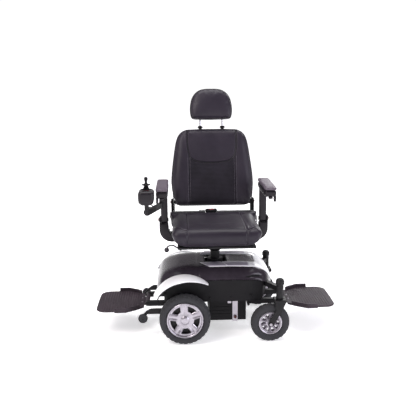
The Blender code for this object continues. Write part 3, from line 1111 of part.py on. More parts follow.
def add_arm(chair, label, side):
    """Curved bracket under the seat, flip-up arm and its pad; side is -1 at the occupant's right."""
    reach = ARM_DEPTH / 2 + BRACKET_MARGIN
    under = PAN_Z - GAP
    floor = ARM_PIVOT_Z - ARM_DEPTH / 2 - TURNING_GAP
    elbow = [(0.120, BRACKET_LOW_Z)]
    elbow += arc((BRACKET_OUTER_X - BRACKET_ELBOW, BRACKET_LOW_Z + BRACKET_ELBOW), BRACKET_ELBOW, -90, 0, 9)
    elbow += [(BRACKET_OUTER_X, ARM_PIVOT_Z + 0.018), (ARM_X[1] + TURNING_GAP, ARM_PIVOT_Z + 0.018),
              (ARM_X[1] + TURNING_GAP, floor), (ARM_X[0] - 0.002, floor),
              (ARM_X[0] - 0.004, ARM_PIVOT_Z - 0.058),
              (PAN_HALF_WIDTH + 0.030, under), (0.120, under)]
    bracket = prism([(side * x, z) for x, z in elbow], "Y", ARM_PIVOT_Y - reach, ARM_PIVOT_Y + reach,
                    0.003, 1)
    pin_inner, pin_outer = ARM_X[0] - TURNING_GAP - 0.003, BRACKET_OUTER_X + ARM_BOSS_HEAD
    for start, end, radius in ((BRACKET_OUTER_X - 0.002, pin_outer, ARM_BOSS),
                               (ARM_X[1] + 0.003, pin_inner, ARM_PIN),
                               (ARM_X[0] - TURNING_GAP, pin_inner, ARM_BOSS)):
        join(bracket, rod((side * start, ARM_PIVOT_Y, ARM_PIVOT_Z), (side * end, ARM_PIVOT_Y, ARM_PIVOT_Z),
                          radius, 20))
    chair.add(bracket, "arm_bracket_" + label, "gloss_black", "seat")

    body = "arm_" + label
    chair.body(body, (side * (ARM_X[0] + ARM_X[1]) / 2, ARM_PIVOT_Y, ARM_PIVOT_Z), "seat")
    pad_bottom = PAD_TOP - PAD_THICKNESS
    housing_low = pad_bottom - HOUSING_HEIGHT - GAP
    half = ARM_DEPTH / 2
    post = [(ARM_PIVOT_Y + half, housing_low + 0.01), (ARM_PIVOT_Y - half, housing_low + 0.01)]
    post += arc((ARM_PIVOT_Y, ARM_PIVOT_Z), half, 180, 360, 11)
    inner, outer = sorted((side * ARM_X[0], side * ARM_X[1]))
    arm = prism(post, "X", inner, outer)
    left, right = sorted((side * PAD_X[0], side * PAD_X[1]))
    join(arm, box((left, PAD_Y[0] + 0.002, housing_low), (right, PAD_Y[1] + 0.005, pad_bottom - GAP),
                  0.010, 3))
    hook_in, hook_out = sorted((side * (PAD_X[1] - 0.013), side * (PAD_X[1] - 0.001)))
    join(arm, box((hook_in, PAD_Y[0] + 0.010, housing_low - 0.020),
                  (hook_out, PAD_Y[0] + 0.034, housing_low + 0.012), 0.003, 1))
    cut(arm, rod((side * (ARM_X[0] - OVERSHOOT), ARM_PIVOT_Y, ARM_PIVOT_Z),
                 (side * (ARM_X[1] + OVERSHOOT), ARM_PIVOT_Y, ARM_PIVOT_Z), ARM_PIN + RUNNING_GAP, 20))
    if side < 0:
        join(arm, rod((SWING_X, SWING_Y, BAR_Z[0] + 0.004), (SWING_X, SWING_Y, housing_low + OVERSHOOT),
                      SWING_PIN))
    chair.add(arm, "arm_frame_" + label, "gloss_black", body)
    pad = box((left, PAD_Y[0], pad_bottom), (right, PAD_Y[1], PAD_TOP), 0.008, 3)
    chair.add(pad, "arm_pad_" + label, "pad_foam", body, 50)


def add_belt(chair):
    """Lap belt laid across the cushion: two webbings, a tongue, a buckle and its button."""
    top = CUSHION_Z[1] + GAP
    side_x = CUSHION_HALF_WIDTH + 0.0015
    low = PAN_Z + 0.001
    radius = CUSHION_ROUND
    for label, side, end in (("tongue", -1, TONGUE_X[0] + 0.004), ("buckle", 1, BUCKLE_X[1] + GAP)):
        corner = (side_x - radius, top - radius)
        outer = arc(corner, radius + WEB_THICKNESS, 90, 0, 8)
        inner = arc(corner, radius, 0, 90, 8)
        stop = side * end
        path = [(stop, top + WEB_THICKNESS)] + outer + [(side_x + WEB_THICKNESS, low), (side_x, low)]
        path += inner + [(stop, top)]
        web = prism([(side * x, z) for x, z in path], "Y", BELT_Y - WEB_WIDTH / 2, BELT_Y + WEB_WIDTH / 2)
        if label == "tongue":
            join(web, box((TONGUE_X[0], BELT_Y - TONGUE_HALF, top + GAP),
                          (TONGUE_X[1], BELT_Y + TONGUE_HALF, top + TONGUE_HEIGHT), 0.001, 1))
            join(web, box((BLADE_X[0], BELT_Y - BLADE_HALF, top + BLADE_Z[0]),
                          (BLADE_X[1], BELT_Y + BLADE_HALF, top + BLADE_Z[1])))
        chair.add(web, "belt_" + label + "_side", "webbing", "seat")
    buckle = box((BUCKLE_X[0], BELT_Y - BUCKLE_HALF, top),
                 (BUCKLE_X[1], BELT_Y + BUCKLE_HALF, top + BUCKLE_HEIGHT), 0.003, 2)
    mouth = BLADE_HALF + 2 * BLADE_ROOM
    cut(buckle, box((BUCKLE_X[0] - OVERSHOOT, BELT_Y - mouth, top + BLADE_Z[0] - BLADE_ROOM),
                    (BLADE_X[1] + 0.002, BELT_Y + mouth, top + BLADE_Z[1] + BLADE_ROOM)))
    button_low, button_high = (BUTTON_X[0], BELT_Y - BUTTON_HALF), (BUTTON_X[1], BELT_Y + BUTTON_HALF)
    cut(buckle, box((*button_low, top + BUTTON_WELL_Z), (*button_high, top + BUCKLE_HEIGHT + OVERSHOOT)))
    chair.add(buckle, "belt_buckle", "black_plastic", "seat")
    chair.body("buckle_button", (sum(BUTTON_X) / 2, BELT_Y, top + 0.0125), "seat")
    button = box((button_low[0] + GAP, button_low[1] + GAP, top + BUTTON_Z[0]),
                 (button_high[0] - GAP, button_high[1] - GAP, top + BUTTON_Z[1]), 0.0012, 1)
    chair.add(button, "buckle_button", "red_plastic", "buckle_button")


def add_joystick(chair):
    """Swing-away bar, housing with its gimbal, stick and keys, and the short lead between them."""
    chair.body("joystick", (SWING_X, SWING_Y, BAR_Z[1]), "arm_right")
    housing_low = PAD_TOP - PAD_THICKNESS - HOUSING_HEIGHT - GAP
    middle = (BAR_Z[0] + BAR_Z[1]) / 2
    post_y = STICK_Y + STICK_POST_DY
    bar = beam((SWING_X, SWING_Y, middle), (STICK_X, post_y, middle), BAR_WIDTH, BAR_Z[1] - BAR_Z[0])
    join(bar, rod((SWING_X, SWING_Y, BAR_Z[0]), (SWING_X, SWING_Y, housing_low - TURNING_GAP), BAR_BOSS, 20))
    join(bar, rod((STICK_X, post_y, BAR_Z[0] + 0.004), (STICK_X, post_y, STICK_BOX_Z[0] - GAP),
                  STICK_POST_RADIUS, 16))
    for share, height in KNOB_SHARES:
        x = SWING_X + (STICK_X - SWING_X) * share
        y = SWING_Y + (post_y - SWING_Y) * share
        z = middle + height
        join(bar, rod((x - 0.004, y, z), (x - 0.024, y + 0.006, z), THUMB_KNOB_RADIUS, 12))
    cut(bar, rod((SWING_X, SWING_Y, BAR_Z[0] - OVERSHOOT), (SWING_X, SWING_Y, housing_low + OVERSHOOT),
                 SWING_PIN + RUNNING_GAP))
    chair.add(bar, "joystick_arm", "black_steel", "joystick")

    top = STICK_BOX_Z[1]
    half_x, half_y = STICK_BOX_HALF
    case = box((STICK_X - half_x, STICK_Y - half_y, STICK_BOX_Z[0]),
               (STICK_X + half_x, STICK_Y + half_y, top), 0.013, 2)
    stick_y = STICK_Y + STICK_PIVOT_DY
    cut(case, rod((STICK_X, stick_y, STICK_PIVOT_Z - STICK_WELL_DEPTH), (STICK_X, stick_y, top + OVERSHOOT),
                  STICK_WELL_RADIUS, 24))
    keys = (("power_button", -KEY_DX), ("horn_button", KEY_DX))
    key_y = STICK_Y + KEY_DY
    for _, dx in keys:
        cut(case, rod((STICK_X + dx, key_y, top - 0.006), (STICK_X + dx, key_y, top + OVERSHOOT),
                      KEY_RADIUS + GAP, 16))
    for way in (-1, 1):
        start, end = STICK_WELL_RADIUS + 0.0017, GIMBAL_RADIUS[1] + 0.0005
        join(case, rod((STICK_X + way * start, stick_y, STICK_PIVOT_Z),
                       (STICK_X + way * end, stick_y, STICK_PIVOT_Z), TRUNNION_RADIUS, 8))
    chair.add(case, "joystick_box", "gloss_black", "joystick")
    for name, dx in keys:
        chair.body(name, (STICK_X + dx, key_y, top), "joystick")
        key = turned([(0, -0.0045), (KEY_RADIUS, -0.0045), (KEY_RADIUS, 0.0012), (KEY_RADIUS - 0.001, 0.0020),
                      (0, 0.0022)], "Z", (STICK_X + dx, key_y, top), 16)
        chair.add(key, name, "black_plastic", name)

    pivot = (STICK_X, stick_y, STICK_PIVOT_Z)
    chair.body("gimbal", pivot, "joystick")
    inner, outer = GIMBAL_RADIUS
    rim = [(inner, -GIMBAL_HALF_HEIGHT), (outer, -GIMBAL_HALF_HEIGHT), (outer, GIMBAL_HALF_HEIGHT),
           (inner, GIMBAL_HALF_HEIGHT)]
    ring = turned(rim, "Z", pivot, 16)
    bore = TRUNNION_RADIUS + RUNNING_GAP
    for way in (-1, 1):
        cut(ring, rod((STICK_X + way * (outer + 0.0022), stick_y, STICK_PIVOT_Z),
                      (STICK_X + way * (inner + 0.0020), stick_y, STICK_PIVOT_Z), bore, 8))
        join(ring, rod((STICK_X, stick_y + way * (inner + 0.0005), STICK_PIVOT_Z),
                       (STICK_X, stick_y + way * 0.0080, STICK_PIVOT_Z), TRUNNION_RADIUS, 8))
    chair.add(ring, "joystick_gimbal", "zinc", "gimbal")

    chair.body("stick", pivot, "gimbal")
    rise = STICK_TOP - STICK_PIVOT_Z
    profile = [(0, -0.006), (0.0100, -0.006), (0.0100, 0.0045), (0.0155, 0.0120), (0.0165, 0.0155),
               (0.0110, 0.0215), (0.0125, 0.0240), (0.0080, 0.0290), (0.0120, 0.0330),
               (0.0115, 0.0365), (0.0048, 0.0400),
               (0.0045, 0.0520), (0.0065, 0.0580), (0.0078, 0.0680), (0.0060, rise - 0.002), (0, rise)]
    stick = turned(profile, "Z", pivot, 16)
    for way in (-1, 1):
        cut(stick, rod((STICK_X, stick_y + way * 0.02, STICK_PIVOT_Z),
                       (STICK_X, stick_y + way * 0.0075, STICK_PIVOT_Z), bore, 8))
    chair.add(stick, "joystick_stick", "black_plastic", "stick")

    lead = smooth_curve([(STICK_X + 0.022, STICK_Y + 0.030, STICK_BOX_Z[0] - GAP - 0.0002),
                         (STICK_X + 0.022, STICK_Y + 0.030, 0.7295),
                         (STICK_X + 0.024, STICK_Y + 0.036, 0.722), (STICK_X + 0.032, STICK_Y + 0.060, 0.711),
                         (STICK_X + 0.044, STICK_Y + 0.090, 0.7075), (-0.3065, -0.085, 0.7045)], 5)
    chair.add(cord_curve("joystick_cable", lead, LEAD_RADIUS, 2), "joystick_cable", "tyre_rubber", "joystick")


def centre_on_floor(chair):
    """Put the origin on the floor under the middle of the chair's outer box."""
    bpy.context.view_layer.update()
    graph = bpy.context.evaluated_depsgraph_get()
    corners = []
    for made in bpy.data.objects:
        if made.type in ("MESH", "CURVE"):
            shape = made.evaluated_get(graph)
            mesh = shape.to_mesh()
            corners += [made.matrix_world @ vert.co for vert in mesh.vertices]
            shape.to_mesh_clear()
    points = np.array(corners)
    low, high = points.min(axis=0), points.max(axis=0)
    middle = (low + high) / 2
    chair.pivots["chassis"].location = (-middle[0], -middle[1], -low[2])


def main():
    """Build the chair, body by body."""
    clear_scene()
    chair = Chair()
    add_frame(chair)
    add_power(chair)
    add_covers(chair)
    add_fenders(chair)
    add_foot(chair, "front", -1)
    add_foot(chair, "rear", 1)
    add_drive_wheels(chair)
    add_casters(chair)
    add_rollers(chair)
    add_seat_base(chair)
    add_back(chair)
    add_arm(chair, "right", -1)
    add_arm(chair, "left", 1)
    add_belt(chair)
    add_joystick(chair)
    centre_on_floor(chair)


main()
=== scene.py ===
"""Power wheelchair: the looks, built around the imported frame.

The base lies along X, with the drive wheels at -X. The seat is turned a quarter turn, so its
occupant looks along -Y. Lengths are metres and angles are degrees unless a name says otherwise.
"""

import json
import logging
import math
from dataclasses import dataclass
from enum import Enum
from typing import Any, Callable, Sequence

import bmesh
import bpy
import numpy as np
from mathutils import Matrix, Vector
from mathutils.bvhtree import BVHTree
from mathutils.kdtree import KDTree

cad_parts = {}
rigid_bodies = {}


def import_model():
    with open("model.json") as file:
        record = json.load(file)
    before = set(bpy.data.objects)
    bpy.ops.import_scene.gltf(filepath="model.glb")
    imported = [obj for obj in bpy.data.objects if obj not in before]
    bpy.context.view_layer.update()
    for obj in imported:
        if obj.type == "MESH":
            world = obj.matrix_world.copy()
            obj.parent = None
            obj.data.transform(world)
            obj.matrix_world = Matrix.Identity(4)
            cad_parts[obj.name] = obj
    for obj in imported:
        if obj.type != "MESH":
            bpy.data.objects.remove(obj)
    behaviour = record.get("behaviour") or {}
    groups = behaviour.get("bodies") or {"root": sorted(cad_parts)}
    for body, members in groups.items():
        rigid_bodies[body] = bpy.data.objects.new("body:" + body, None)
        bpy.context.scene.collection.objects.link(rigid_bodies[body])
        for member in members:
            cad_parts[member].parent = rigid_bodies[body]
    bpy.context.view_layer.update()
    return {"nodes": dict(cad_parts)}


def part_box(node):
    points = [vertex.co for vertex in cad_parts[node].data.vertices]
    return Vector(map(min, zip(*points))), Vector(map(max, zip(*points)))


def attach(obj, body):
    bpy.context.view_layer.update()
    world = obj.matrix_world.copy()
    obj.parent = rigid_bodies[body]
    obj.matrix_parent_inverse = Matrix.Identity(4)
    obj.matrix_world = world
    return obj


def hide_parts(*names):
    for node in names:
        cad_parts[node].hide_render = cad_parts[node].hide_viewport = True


for leftover in list(bpy.data.objects):
    bpy.data.objects.remove(leftover)

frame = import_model()

LOG = logging.getLogger("wheelchair")
MM = 0.001
SIDES = (("near", -1), ("far", 1))
Object = bpy.types.Object
Socket = bpy.types.NodeSocket
Point = Sequence[float]


# ---------------------------------------------------------------- finishes
def linear(code: str) -> tuple[float, float, float, float]:
    """Turn an sRGB hex colour into linear light.

    Args:
        code: six hex digits, with or without a leading hash.

    Returns:
        Red, green, blue and alpha.
    """
    digits = code.lstrip("#")
    parts = [int(digits[i:i + 2], 16) / 255 for i in (0, 2, 4)]
    light = [p / 12.92 if p <= 0.04045 else ((p + 0.055) / 1.055) ** 2.4 for p in parts]
    return light[0], light[1], light[2], 1.0


def add_node(tree: bpy.types.NodeTree, kind: str, feeds: dict[Any, Any] | None = None,
             **settings: Any) -> bpy.types.Node:
    """Add one shader node with its settings and links.

    Args:
        tree: node tree that gets the node.
        kind: Blender's name for the node type.
        feeds: input name or number to a socket to link or a value to set.
        settings: attributes of the node itself.

    Returns:
        The new node.
    """
    node = tree.nodes.new(kind)
    for name, value in settings.items():
        setattr(node, name, value)
    for key, value in (feeds or {}).items():
        if isinstance(value, Socket):
            tree.links.new(value, node.inputs[key])
        else:
            node.inputs[key].default_value = value
    return node


class Grain(Enum):
    """How a surface was made, which gives it its relief."""

    SPRAYED = "orange peel of sprayed or powdered paint"
    EMBOSSED = "cells rolled into vinyl or etched into a mould"
    POLISHED = "polished mould, with only dust and hairlines left"
    DRAWN = "fine lines of drawn or brushed metal"
    WOVEN = "crossing threads"
    RIBBED = "fine cords that run level across a knitted panel"


@dataclass(frozen=True)
class Finish:
    """One real material: its colours, shine and relief."""

    name: str
    light: str
    dark: str
    roughness: float
    grain: Grain
    grain_mm: float
    relief_mm: float
    metallic: float = 0.0
    coat: float = 0.0
    sheen: float = 0.0
    spread: float = 0.10
    patch_mm: float = 70.0
    bare: str = ""
    specular: float = 0.5
    glow: float = 0.0

    def relief(self, tree: bpy.types.NodeTree, place: Socket) -> Socket:
        """Draw the surface's relief as a height from 0 to 1.

        Args:
            tree: the material's nodes.
            place: object coordinates in metres.

        Returns:
            The height socket.
        """
        per_metre = 1.0 / (self.grain_mm * MM)
        wave_scale = math.pi / 10 * per_metre
        if self.grain is Grain.EMBOSSED:
            cells = add_node(tree, "ShaderNodeTexVoronoi", {"Vector": place, "Scale": per_metre,
                                                            "Smoothness": 0.6}, feature="SMOOTH_F1")
            fine = add_node(tree, "ShaderNodeTexNoise", {"Vector": place, "Scale": per_metre * 2.3,
                                                         "Detail": 3.0})
            return add_node(tree, "ShaderNodeMath", {0: cells.outputs["Distance"],
                                                     1: fine.outputs["Fac"]},
                            operation="MULTIPLY").outputs[0]
        if self.grain is Grain.WOVEN:
            weft = add_node(tree, "ShaderNodeTexWave", {"Vector": place, "Scale": wave_scale},
                            bands_direction="Y")
            warp = add_node(tree, "ShaderNodeTexWave", {"Vector": place, "Scale": wave_scale},
                            bands_direction="DIAGONAL")
            return add_node(tree, "ShaderNodeMath", {0: weft.outputs["Fac"], 1: warp.outputs["Fac"]},
                            operation="MULTIPLY").outputs[0]
        if self.grain is Grain.RIBBED:
            return add_node(tree, "ShaderNodeTexWave", {"Vector": place, "Scale": wave_scale,
                                                        "Distortion": 0.4, "Detail": 2.0},
                            bands_direction="Z").outputs["Fac"]
        stretch = (1.0, 1.0, 0.05) if self.grain is Grain.DRAWN else (1.0, 1.0, 1.0)
        laid = add_node(tree, "ShaderNodeMapping", {"Vector": place, "Scale": stretch}).outputs[0]
        detail = 5.0 if self.grain is Grain.POLISHED else 2.5
        return add_node(tree, "ShaderNodeTexNoise", {"Vector": laid, "Scale": per_metre,
                                                     "Detail": detail}).outputs["Fac"]

    def material(self) -> bpy.types.Material:
        """Build the material once, and hand the same one out after that."""
        known = bpy.data.materials.get(self.name)
        if known is not None:
            return known
        made = bpy.data.materials.new(self.name)
        made.use_nodes = True
        tree = made.node_tree
        shader = tree.nodes["Principled BSDF"]
        place = add_node(tree, "ShaderNodeTexCoord").outputs["Object"]
        height = self.relief(tree, place)
        patches = add_node(tree, "ShaderNodeTexNoise", {
            "Vector": place, "Scale": 1.0 / (self.patch_mm * MM), "Detail": 5.0, "Roughness": 0.62})
        shade = add_node(tree, "ShaderNodeMapRange", {0: patches.outputs["Fac"], 1: 0.30, 2: 0.70})
        # The relief's low spots take the darker colour: painted shade in the grain's hollows, added to the
        # random tone patches.
        hollow_shade_and_tone = add_node(tree, "ShaderNodeMath", {0: height, 1: shade.outputs[0]},
                          operation="ADD", use_clamp=False)
        blend = add_node(tree, "ShaderNodeMath", {0: hollow_shade_and_tone.outputs[0], 1: 0.5},
                         operation="MULTIPLY", use_clamp=True)
        colour = add_node(tree, "ShaderNodeMix", {0: blend.outputs[0], 6: linear(self.dark),
                                                  7: linear(self.light)}, data_type="RGBA").outputs[2]
        if self.bare:
            edge = add_node(tree, "ShaderNodeNewGeometry").outputs["Pointiness"]
            rubbed = add_node(tree, "ShaderNodeMapRange", {0: edge, 1: 0.56, 2: 0.66, 4: 0.55})
            chips = add_node(tree, "ShaderNodeMath", {0: rubbed.outputs[0], 1: shade.outputs[0]},
                             operation="MULTIPLY").outputs[0]
            colour = add_node(tree, "ShaderNodeMix", {0: chips, 6: colour, 7: linear(self.bare)},
                              data_type="RGBA").outputs[2]
        tree.links.new(colour, shader.inputs["Base Color"])
        gloss = add_node(tree, "ShaderNodeMapRange", {
            0: patches.outputs["Fac"], 1: 0.25, 2: 0.75,
            3: max(0.02, self.roughness - self.spread), 4: min(1.0, self.roughness + self.spread)})
        tree.links.new(gloss.outputs[0], shader.inputs["Roughness"])
        bump = add_node(tree, "ShaderNodeBump", {"Strength": 1.0, "Distance": self.relief_mm * MM,
                                                 "Height": height})
        tree.links.new(bump.outputs["Normal"], shader.inputs["Normal"])
        shader.inputs["Metallic"].default_value = self.metallic
        shader.inputs["Coat Weight"].default_value = self.coat
        shader.inputs["Coat Roughness"].default_value = 0.06
        shader.inputs["Sheen Weight"].default_value = self.sheen
        shader.inputs["Specular IOR Level"].default_value = self.specular
        shader.inputs["Emission Color"].default_value = linear(self.light)
        shader.inputs["Emission Strength"].default_value = self.glow
        return made


# PVC-coated fabric with a rolled leather grain: soft plum-tinged charcoal, low broad highlights.
VINYL = Finish("grained_vinyl", "#2e2833", "#1d1822", 0.43, Grain.EMBOSSED, 1.6, 0.12, sheen=0.03,
               spread=0.05, patch_mm=120, specular=0.26)
# Knitted polyester insert: level cords drawn at 7 mm so that they show, and no gloss. Its near-black dark
# colour fills the hollows between the cords with painted shade.
RIB_KNIT = Finish("ribbed_knit", "#28242d", "#0d0b10", 0.72, Grain.RIBBED, 7.0, 0.90, sheen=0.02,
                  spread=0.05, patch_mm=90, specular=0.15)
# Wrapped piping cord of the same vinyl, coloured darker as painted shade: it draws the dark lines of shade
# along the seams and edges.
SHADE_PIPING = Finish("vinyl_piping_painted_shade", "#141216", "#0b0a0d", 0.40, Grain.EMBOSSED, 1.4, 0.05)
# Bonded nylon thread, pale grey so that the top-stitching reads against the vinyl.
THREAD = Finish("nylon_thread", "#77717c", "#5a5560", 0.62, Grain.WOVEN, 1.2, 0.10)
# Skinned polyurethane foam of an arm pad: matt mauve-grey with a dry leather grain.
PAD_SKIN = Finish("skinned_foam", "#685e69", "#4c434e", 0.52, Grain.EMBOSSED, 2.0, 0.14, spread=0.06,
                  specular=0.4)
# Polished black ABS: near-mirror skin with fine hairlines. Its colours are lighter and more plum than bare
# black ABS: partly the plastic's own plum-black, partly painted reflection that stands in for the broad warm
# highlights on the cover.
GLOSS_ABS = Finish("gloss_abs", "#38323a", "#252027", 0.21, Grain.POLISHED, 40.0, 0.10, coat=0.05,
                   spread=0.05, patch_mm=160, specular=0.32)
# Moulded ABS with a satin skin, for the arms and the joystick: near black, broad dim highlights.
SATIN_ABS = Finish("satin_abs", "#231d24", "#141016", 0.36, Grain.EMBOSSED, 1.6, 0.05, spread=0.05,
                   specular=0.30)
# Spark-eroded black polypropylene: dead matt with a sandy mould grain.
MATT_PP = Finish("textured_pp", "#151317", "#0b0a0d", 0.60, Grain.EMBOSSED, 1.8, 0.12,
                 specular=0.2)
# Glass-filled nylon of the footplates: brownish grey where shoes polish it.
TREAD_NYLON = Finish("filled_nylon", "#453c43", "#2c252b", 0.56, Grain.EMBOSSED, 2.4, 0.14,
                     patch_mm=80, bare="#5d525a", specular=0.2)
# White gel-coated ABS: clean, bright and slightly wavy.
WHITE_ABS = Finish("white_abs", "#fdfdff", "#efeff3", 0.20, Grain.SPRAYED, 9.0, 0.03, coat=0.5,
                   spread=0.05)
# Lilac-tinted silver lacquer over cast alloy: bright flake with a satin coat.
SILVER_LACQUER = Finish("silver_lacquer", "#c2bec5", "#98929c", 0.30, Grain.SPRAYED, 1.5, 0.03,
                        metallic=0.85, coat=0.2, spread=0.07, patch_mm=30)
# The same lacquer over moulded plastic, for the trim's inlays: more pigment and less flake.
INLAY_LACQUER = Finish("inlay_lacquer", "#b9b2c0", "#9c95a4", 0.36, Grain.SPRAYED, 1.5, 0.03,
                       metallic=0.15, coat=0.3, spread=0.06, patch_mm=30)
# Satin black powder coat over welded steel: fine orange peel, rubbed grey on its corners.
POWDER = Finish("black_powder_coat", "#151417", "#0b0a0c", 0.44, Grain.SPRAYED, 2.2, 0.10,
                bare="#3d3a3e", specular=0.25)
# Zinc-plated steel: cool, streaky and a little dull.
ZINC = Finish("zinc_plate", "#b9b4bb", "#8f8b93", 0.36, Grain.DRAWN, 1.2, 0.03, metallic=1.0)
# Polished chrome tube: sharp reflections with faint polishing lines.
CHROME = Finish("chrome_tube", "#d9d8dc", "#c4c3c9", 0.12, Grain.DRAWN, 1.0, 0.01, metallic=1.0,
                spread=0.04)
# Carbon-black rubber: dry, dark and dusty, with a faint moulded grain.
RUBBER = Finish("tyre_rubber", "#1b191d", "#0f0e11", 0.78, Grain.EMBOSSED, 2.2, 0.16, spread=0.08,
                patch_mm=45, specular=0.15)
# Woven polyester webbing: ribbed twill drawn at 3 mm so that it shows, with a silky edge.
WEBBING = Finish("belt_webbing", "#232127", "#131216", 0.66, Grain.WOVEN, 3.0, 0.30, sheen=0.15)
# Moulded red polystyrene: the belt's release and the arm pivots' caps.
RED_PS = Finish("red_polystyrene", "#8e1b2c", "#6d1220", 0.30, Grain.SPRAYED, 6.0, 0.03)
# Grey ABS battery case.
GREY_ABS = Finish("grey_abs", "#6a6a6e", "#535357", 0.55, Grain.EMBOSSED, 1.5, 0.10)
# Browned steel of a bolt head.
BROWNED = Finish("browned_steel", "#6b4040", "#472a2b", 0.45, Grain.SPRAYED, 1.5, 0.05, metallic=0.7)
# Pale painted studio floor.
FLOOR = Finish("studio_floor", "#f6f6f7", "#f1f1f3", 0.85, Grain.SPRAYED, 40.0, 0.02, spread=0.04,
               glow=0.60, specular=0.1)


# ---------------------------------------------------------------- mesh helpers
def settled(name: str, data: bmesh.types.BMesh) -> Object:
    """Put mesh data that is done into a scene object.

    Args:
        name: the object's name.
        data: the mesh data, which is freed.

    Returns:
        The object.
    """
    mesh = bpy.data.meshes.new(name)
    data.to_mesh(mesh)
    data.free()
    made = bpy.data.objects.new(name, mesh)
    bpy.context.scene.collection.objects.link(made)
    return made


def mesh_object(name: str, points: Sequence[Point], faces: Sequence[Sequence[int]]) -> Object:
    """Make a scene object from points and faces, with its faces turned outwards.

    Args:
        name: the object's name.
        points: its points.
        faces: its faces, as numbers of points.

    Returns:
        The object.
    """
    mesh = bpy.data.meshes.new(name)
    mesh.from_pydata([tuple(p) for p in points], [], [tuple(f) for f in faces])
    data = bmesh.new()
    data.from_mesh(mesh)
    bpy.data.meshes.remove(mesh)
    bmesh.ops.remove_doubles(data, verts=data.verts, dist=1e-6)
    bmesh.ops.recalc_face_normals(data, faces=data.faces)
    return settled(name, data)


def bake(made: Object) -> Object:
    """Apply all of an object's modifiers.

    Args:
        made: the object.

    Returns:
        The same object, with its final mesh.
    """
    bpy.context.view_layer.update()
    graph = bpy.context.evaluated_depsgraph_get()
    mesh = bpy.data.meshes.new_from_object(made.evaluated_get(graph))
    made.modifiers.clear()
    made.data = mesh
    return made


def modify(made: Object, kind: str, **settings: Any) -> Object:
    """Add a modifier with its settings.

    Args:
        made: the object.
        kind: Blender's name for the modifier.
        settings: the modifier's attributes.

    Returns:
        The same object.
    """
    step = made.modifiers.new(kind.title(), kind)
    for name, value in settings.items():
        setattr(step, name, value)
    return made


def loft(name: str, rings: Sequence[Sequence[Point]], round_ring: bool = True,
         round_rows: bool = False, caps: bool = True) -> Object:
    """Skin a row of rings with equal counts of points.

    Args:
        name: the object's name.
        rings: rows of points.
        round_ring: whether each row closes on itself.
        round_rows: whether the last row joins the first.
        caps: whether the first and last rows are filled.

    Returns:
        The skinned object.
    """
    rows, columns = len(rings), len(rings[0])
    points = [p for ring in rings for p in ring]
    faces: list[Sequence[int]] = []
    for i in range(rows if round_rows else rows - 1):
        for j in range(columns if round_ring else columns - 1):
            a, b = i * columns, (i + 1) % rows * columns
            k = (j + 1) % columns
            faces.append((a + j, a + k, b + k, b + j))
    if caps and round_ring and not round_rows:
        faces.append(tuple(range(columns)))
        faces.append(tuple((rows - 1) * columns + j for j in range(columns)))
    return mesh_object(name, points, faces)


AXIS_TURN = {"X": lambda u, v, w: (w, u, v), "Y": lambda u, v, w: (u, w, v),
             "Z": lambda u, v, w: (u, v, w)}


def lathe(name: str, profile: Sequence[Point], axis: str, centre: Point, segments: int = 64,
          closed: bool = True) -> Object:
    """Turn a profile of (radius, height) points about an axis through centre.

    Args:
        name: the object's name.
        profile: points of (radius, height).
        axis: X, Y or Z.
        centre: where the axis passes.
        segments: steps round the axis.
        closed: whether the profile joins its own start.

    Returns:
        The turned object.
    """
    rings = []
    for i in range(segments):
        angle = 2 * math.pi * i / segments
        ring = []
        for radius, height in profile:
            spot = AXIS_TURN[axis](radius * math.cos(angle), radius * math.sin(angle), height)
            ring.append(tuple(c + s for c, s in zip(centre, spot)))
        rings.append(ring)
    return loft(name, rings, round_ring=closed, round_rows=True, caps=False)


def tube(name: str, line: Sequence[Point], radius: float, sides: int = 10,
         ring: bool = False) -> Object:
    """Sweep a circle along a line of points, without twist.

    Args:
        name: the object's name.
        line: points of the centre line.
        radius: radius of the circle.
        sides: points round the circle.
        ring: whether the line joins its own start.

    Returns:
        The tube.
    """
    path = [Vector(p) for p in line]
    count = len(path)
    rings = []
    across = Vector((0, 0, 0))
    for i, spot in enumerate(path):
        before = path[i - 1] if i or ring else path[i]
        after = path[(i + 1) % count] if i < count - 1 or ring else path[i]
        along = (after - before).normalized()
        if across.length < 0.5:
            across = along.orthogonal().normalized()
        across = (across - along * across.dot(along)).normalized()
        up = along.cross(across)
        rings.append([spot + radius * (math.cos(a) * across + math.sin(a) * up)
                      for a in np.linspace(0, 2 * math.pi, sides, endpoint=False)])
    return loft(name, rings, round_rows=ring)


def prism(name: str, outline: Sequence[Point], axis: str, low: float, high: float,
          bevel: float = 0.0) -> Object:
    """Extrude an outline along an axis and round its rims.

    Args:
        name: the object's name.
        outline: points in the two other axes.
        axis: X, Y or Z.
        low: where it starts on the axis.
        high: where it ends.
        bevel: width of the rims' rounding.

    Returns:
        The prism.
    """
    rings = [[AXIS_TURN[axis](u, v, w) for u, v in outline] for w in (low, high)]
    made = loft(name, rings)
    if bevel:
        modify(made, "BEVEL", width=bevel, segments=3, limit_method="ANGLE",
               angle_limit=math.radians(40))
        bake(made)
    return made


def rounded_box(name: str, low: Point, high: Point, radius: float, steps: int = 16,
                warp: Callable[[Vector, Vector], Vector] | None = None) -> Object:
    """A block with round edges and an even mesh.

    Args:
        name: the object's name.
        low: lowest corner.
        high: highest corner.
        radius: radius of the edges.
        steps: cells along each side.
        warp: moves a point, given the point and its place from -1 to 1 in the block.

    Returns:
        The block.
    """
    middle = (Vector(low) + Vector(high)) / 2
    half = (Vector(high) - Vector(low)) / 2
    data = bmesh.new()
    bmesh.ops.create_cube(data, size=2.0)
    bmesh.ops.subdivide_edges(data, edges=data.edges[:], cuts=steps - 1, use_grid_fill=True)
    for vert in data.verts:
        share = vert.co.copy()
        for i in range(3):
            share[i] = math.copysign(abs(share[i]) ** 0.85, share[i])
        spot = Vector([share[i] * half[i] for i in range(3)])
        core = Vector([max(-half[i] + radius, min(half[i] - radius, spot[i])) for i in range(3)])
        out = spot - core
        if out.length > 1e-9:
            spot = core + out.normalized() * radius
        spot += middle
        vert.co = warp(spot, share) if warp else spot
    return settled(name, data)


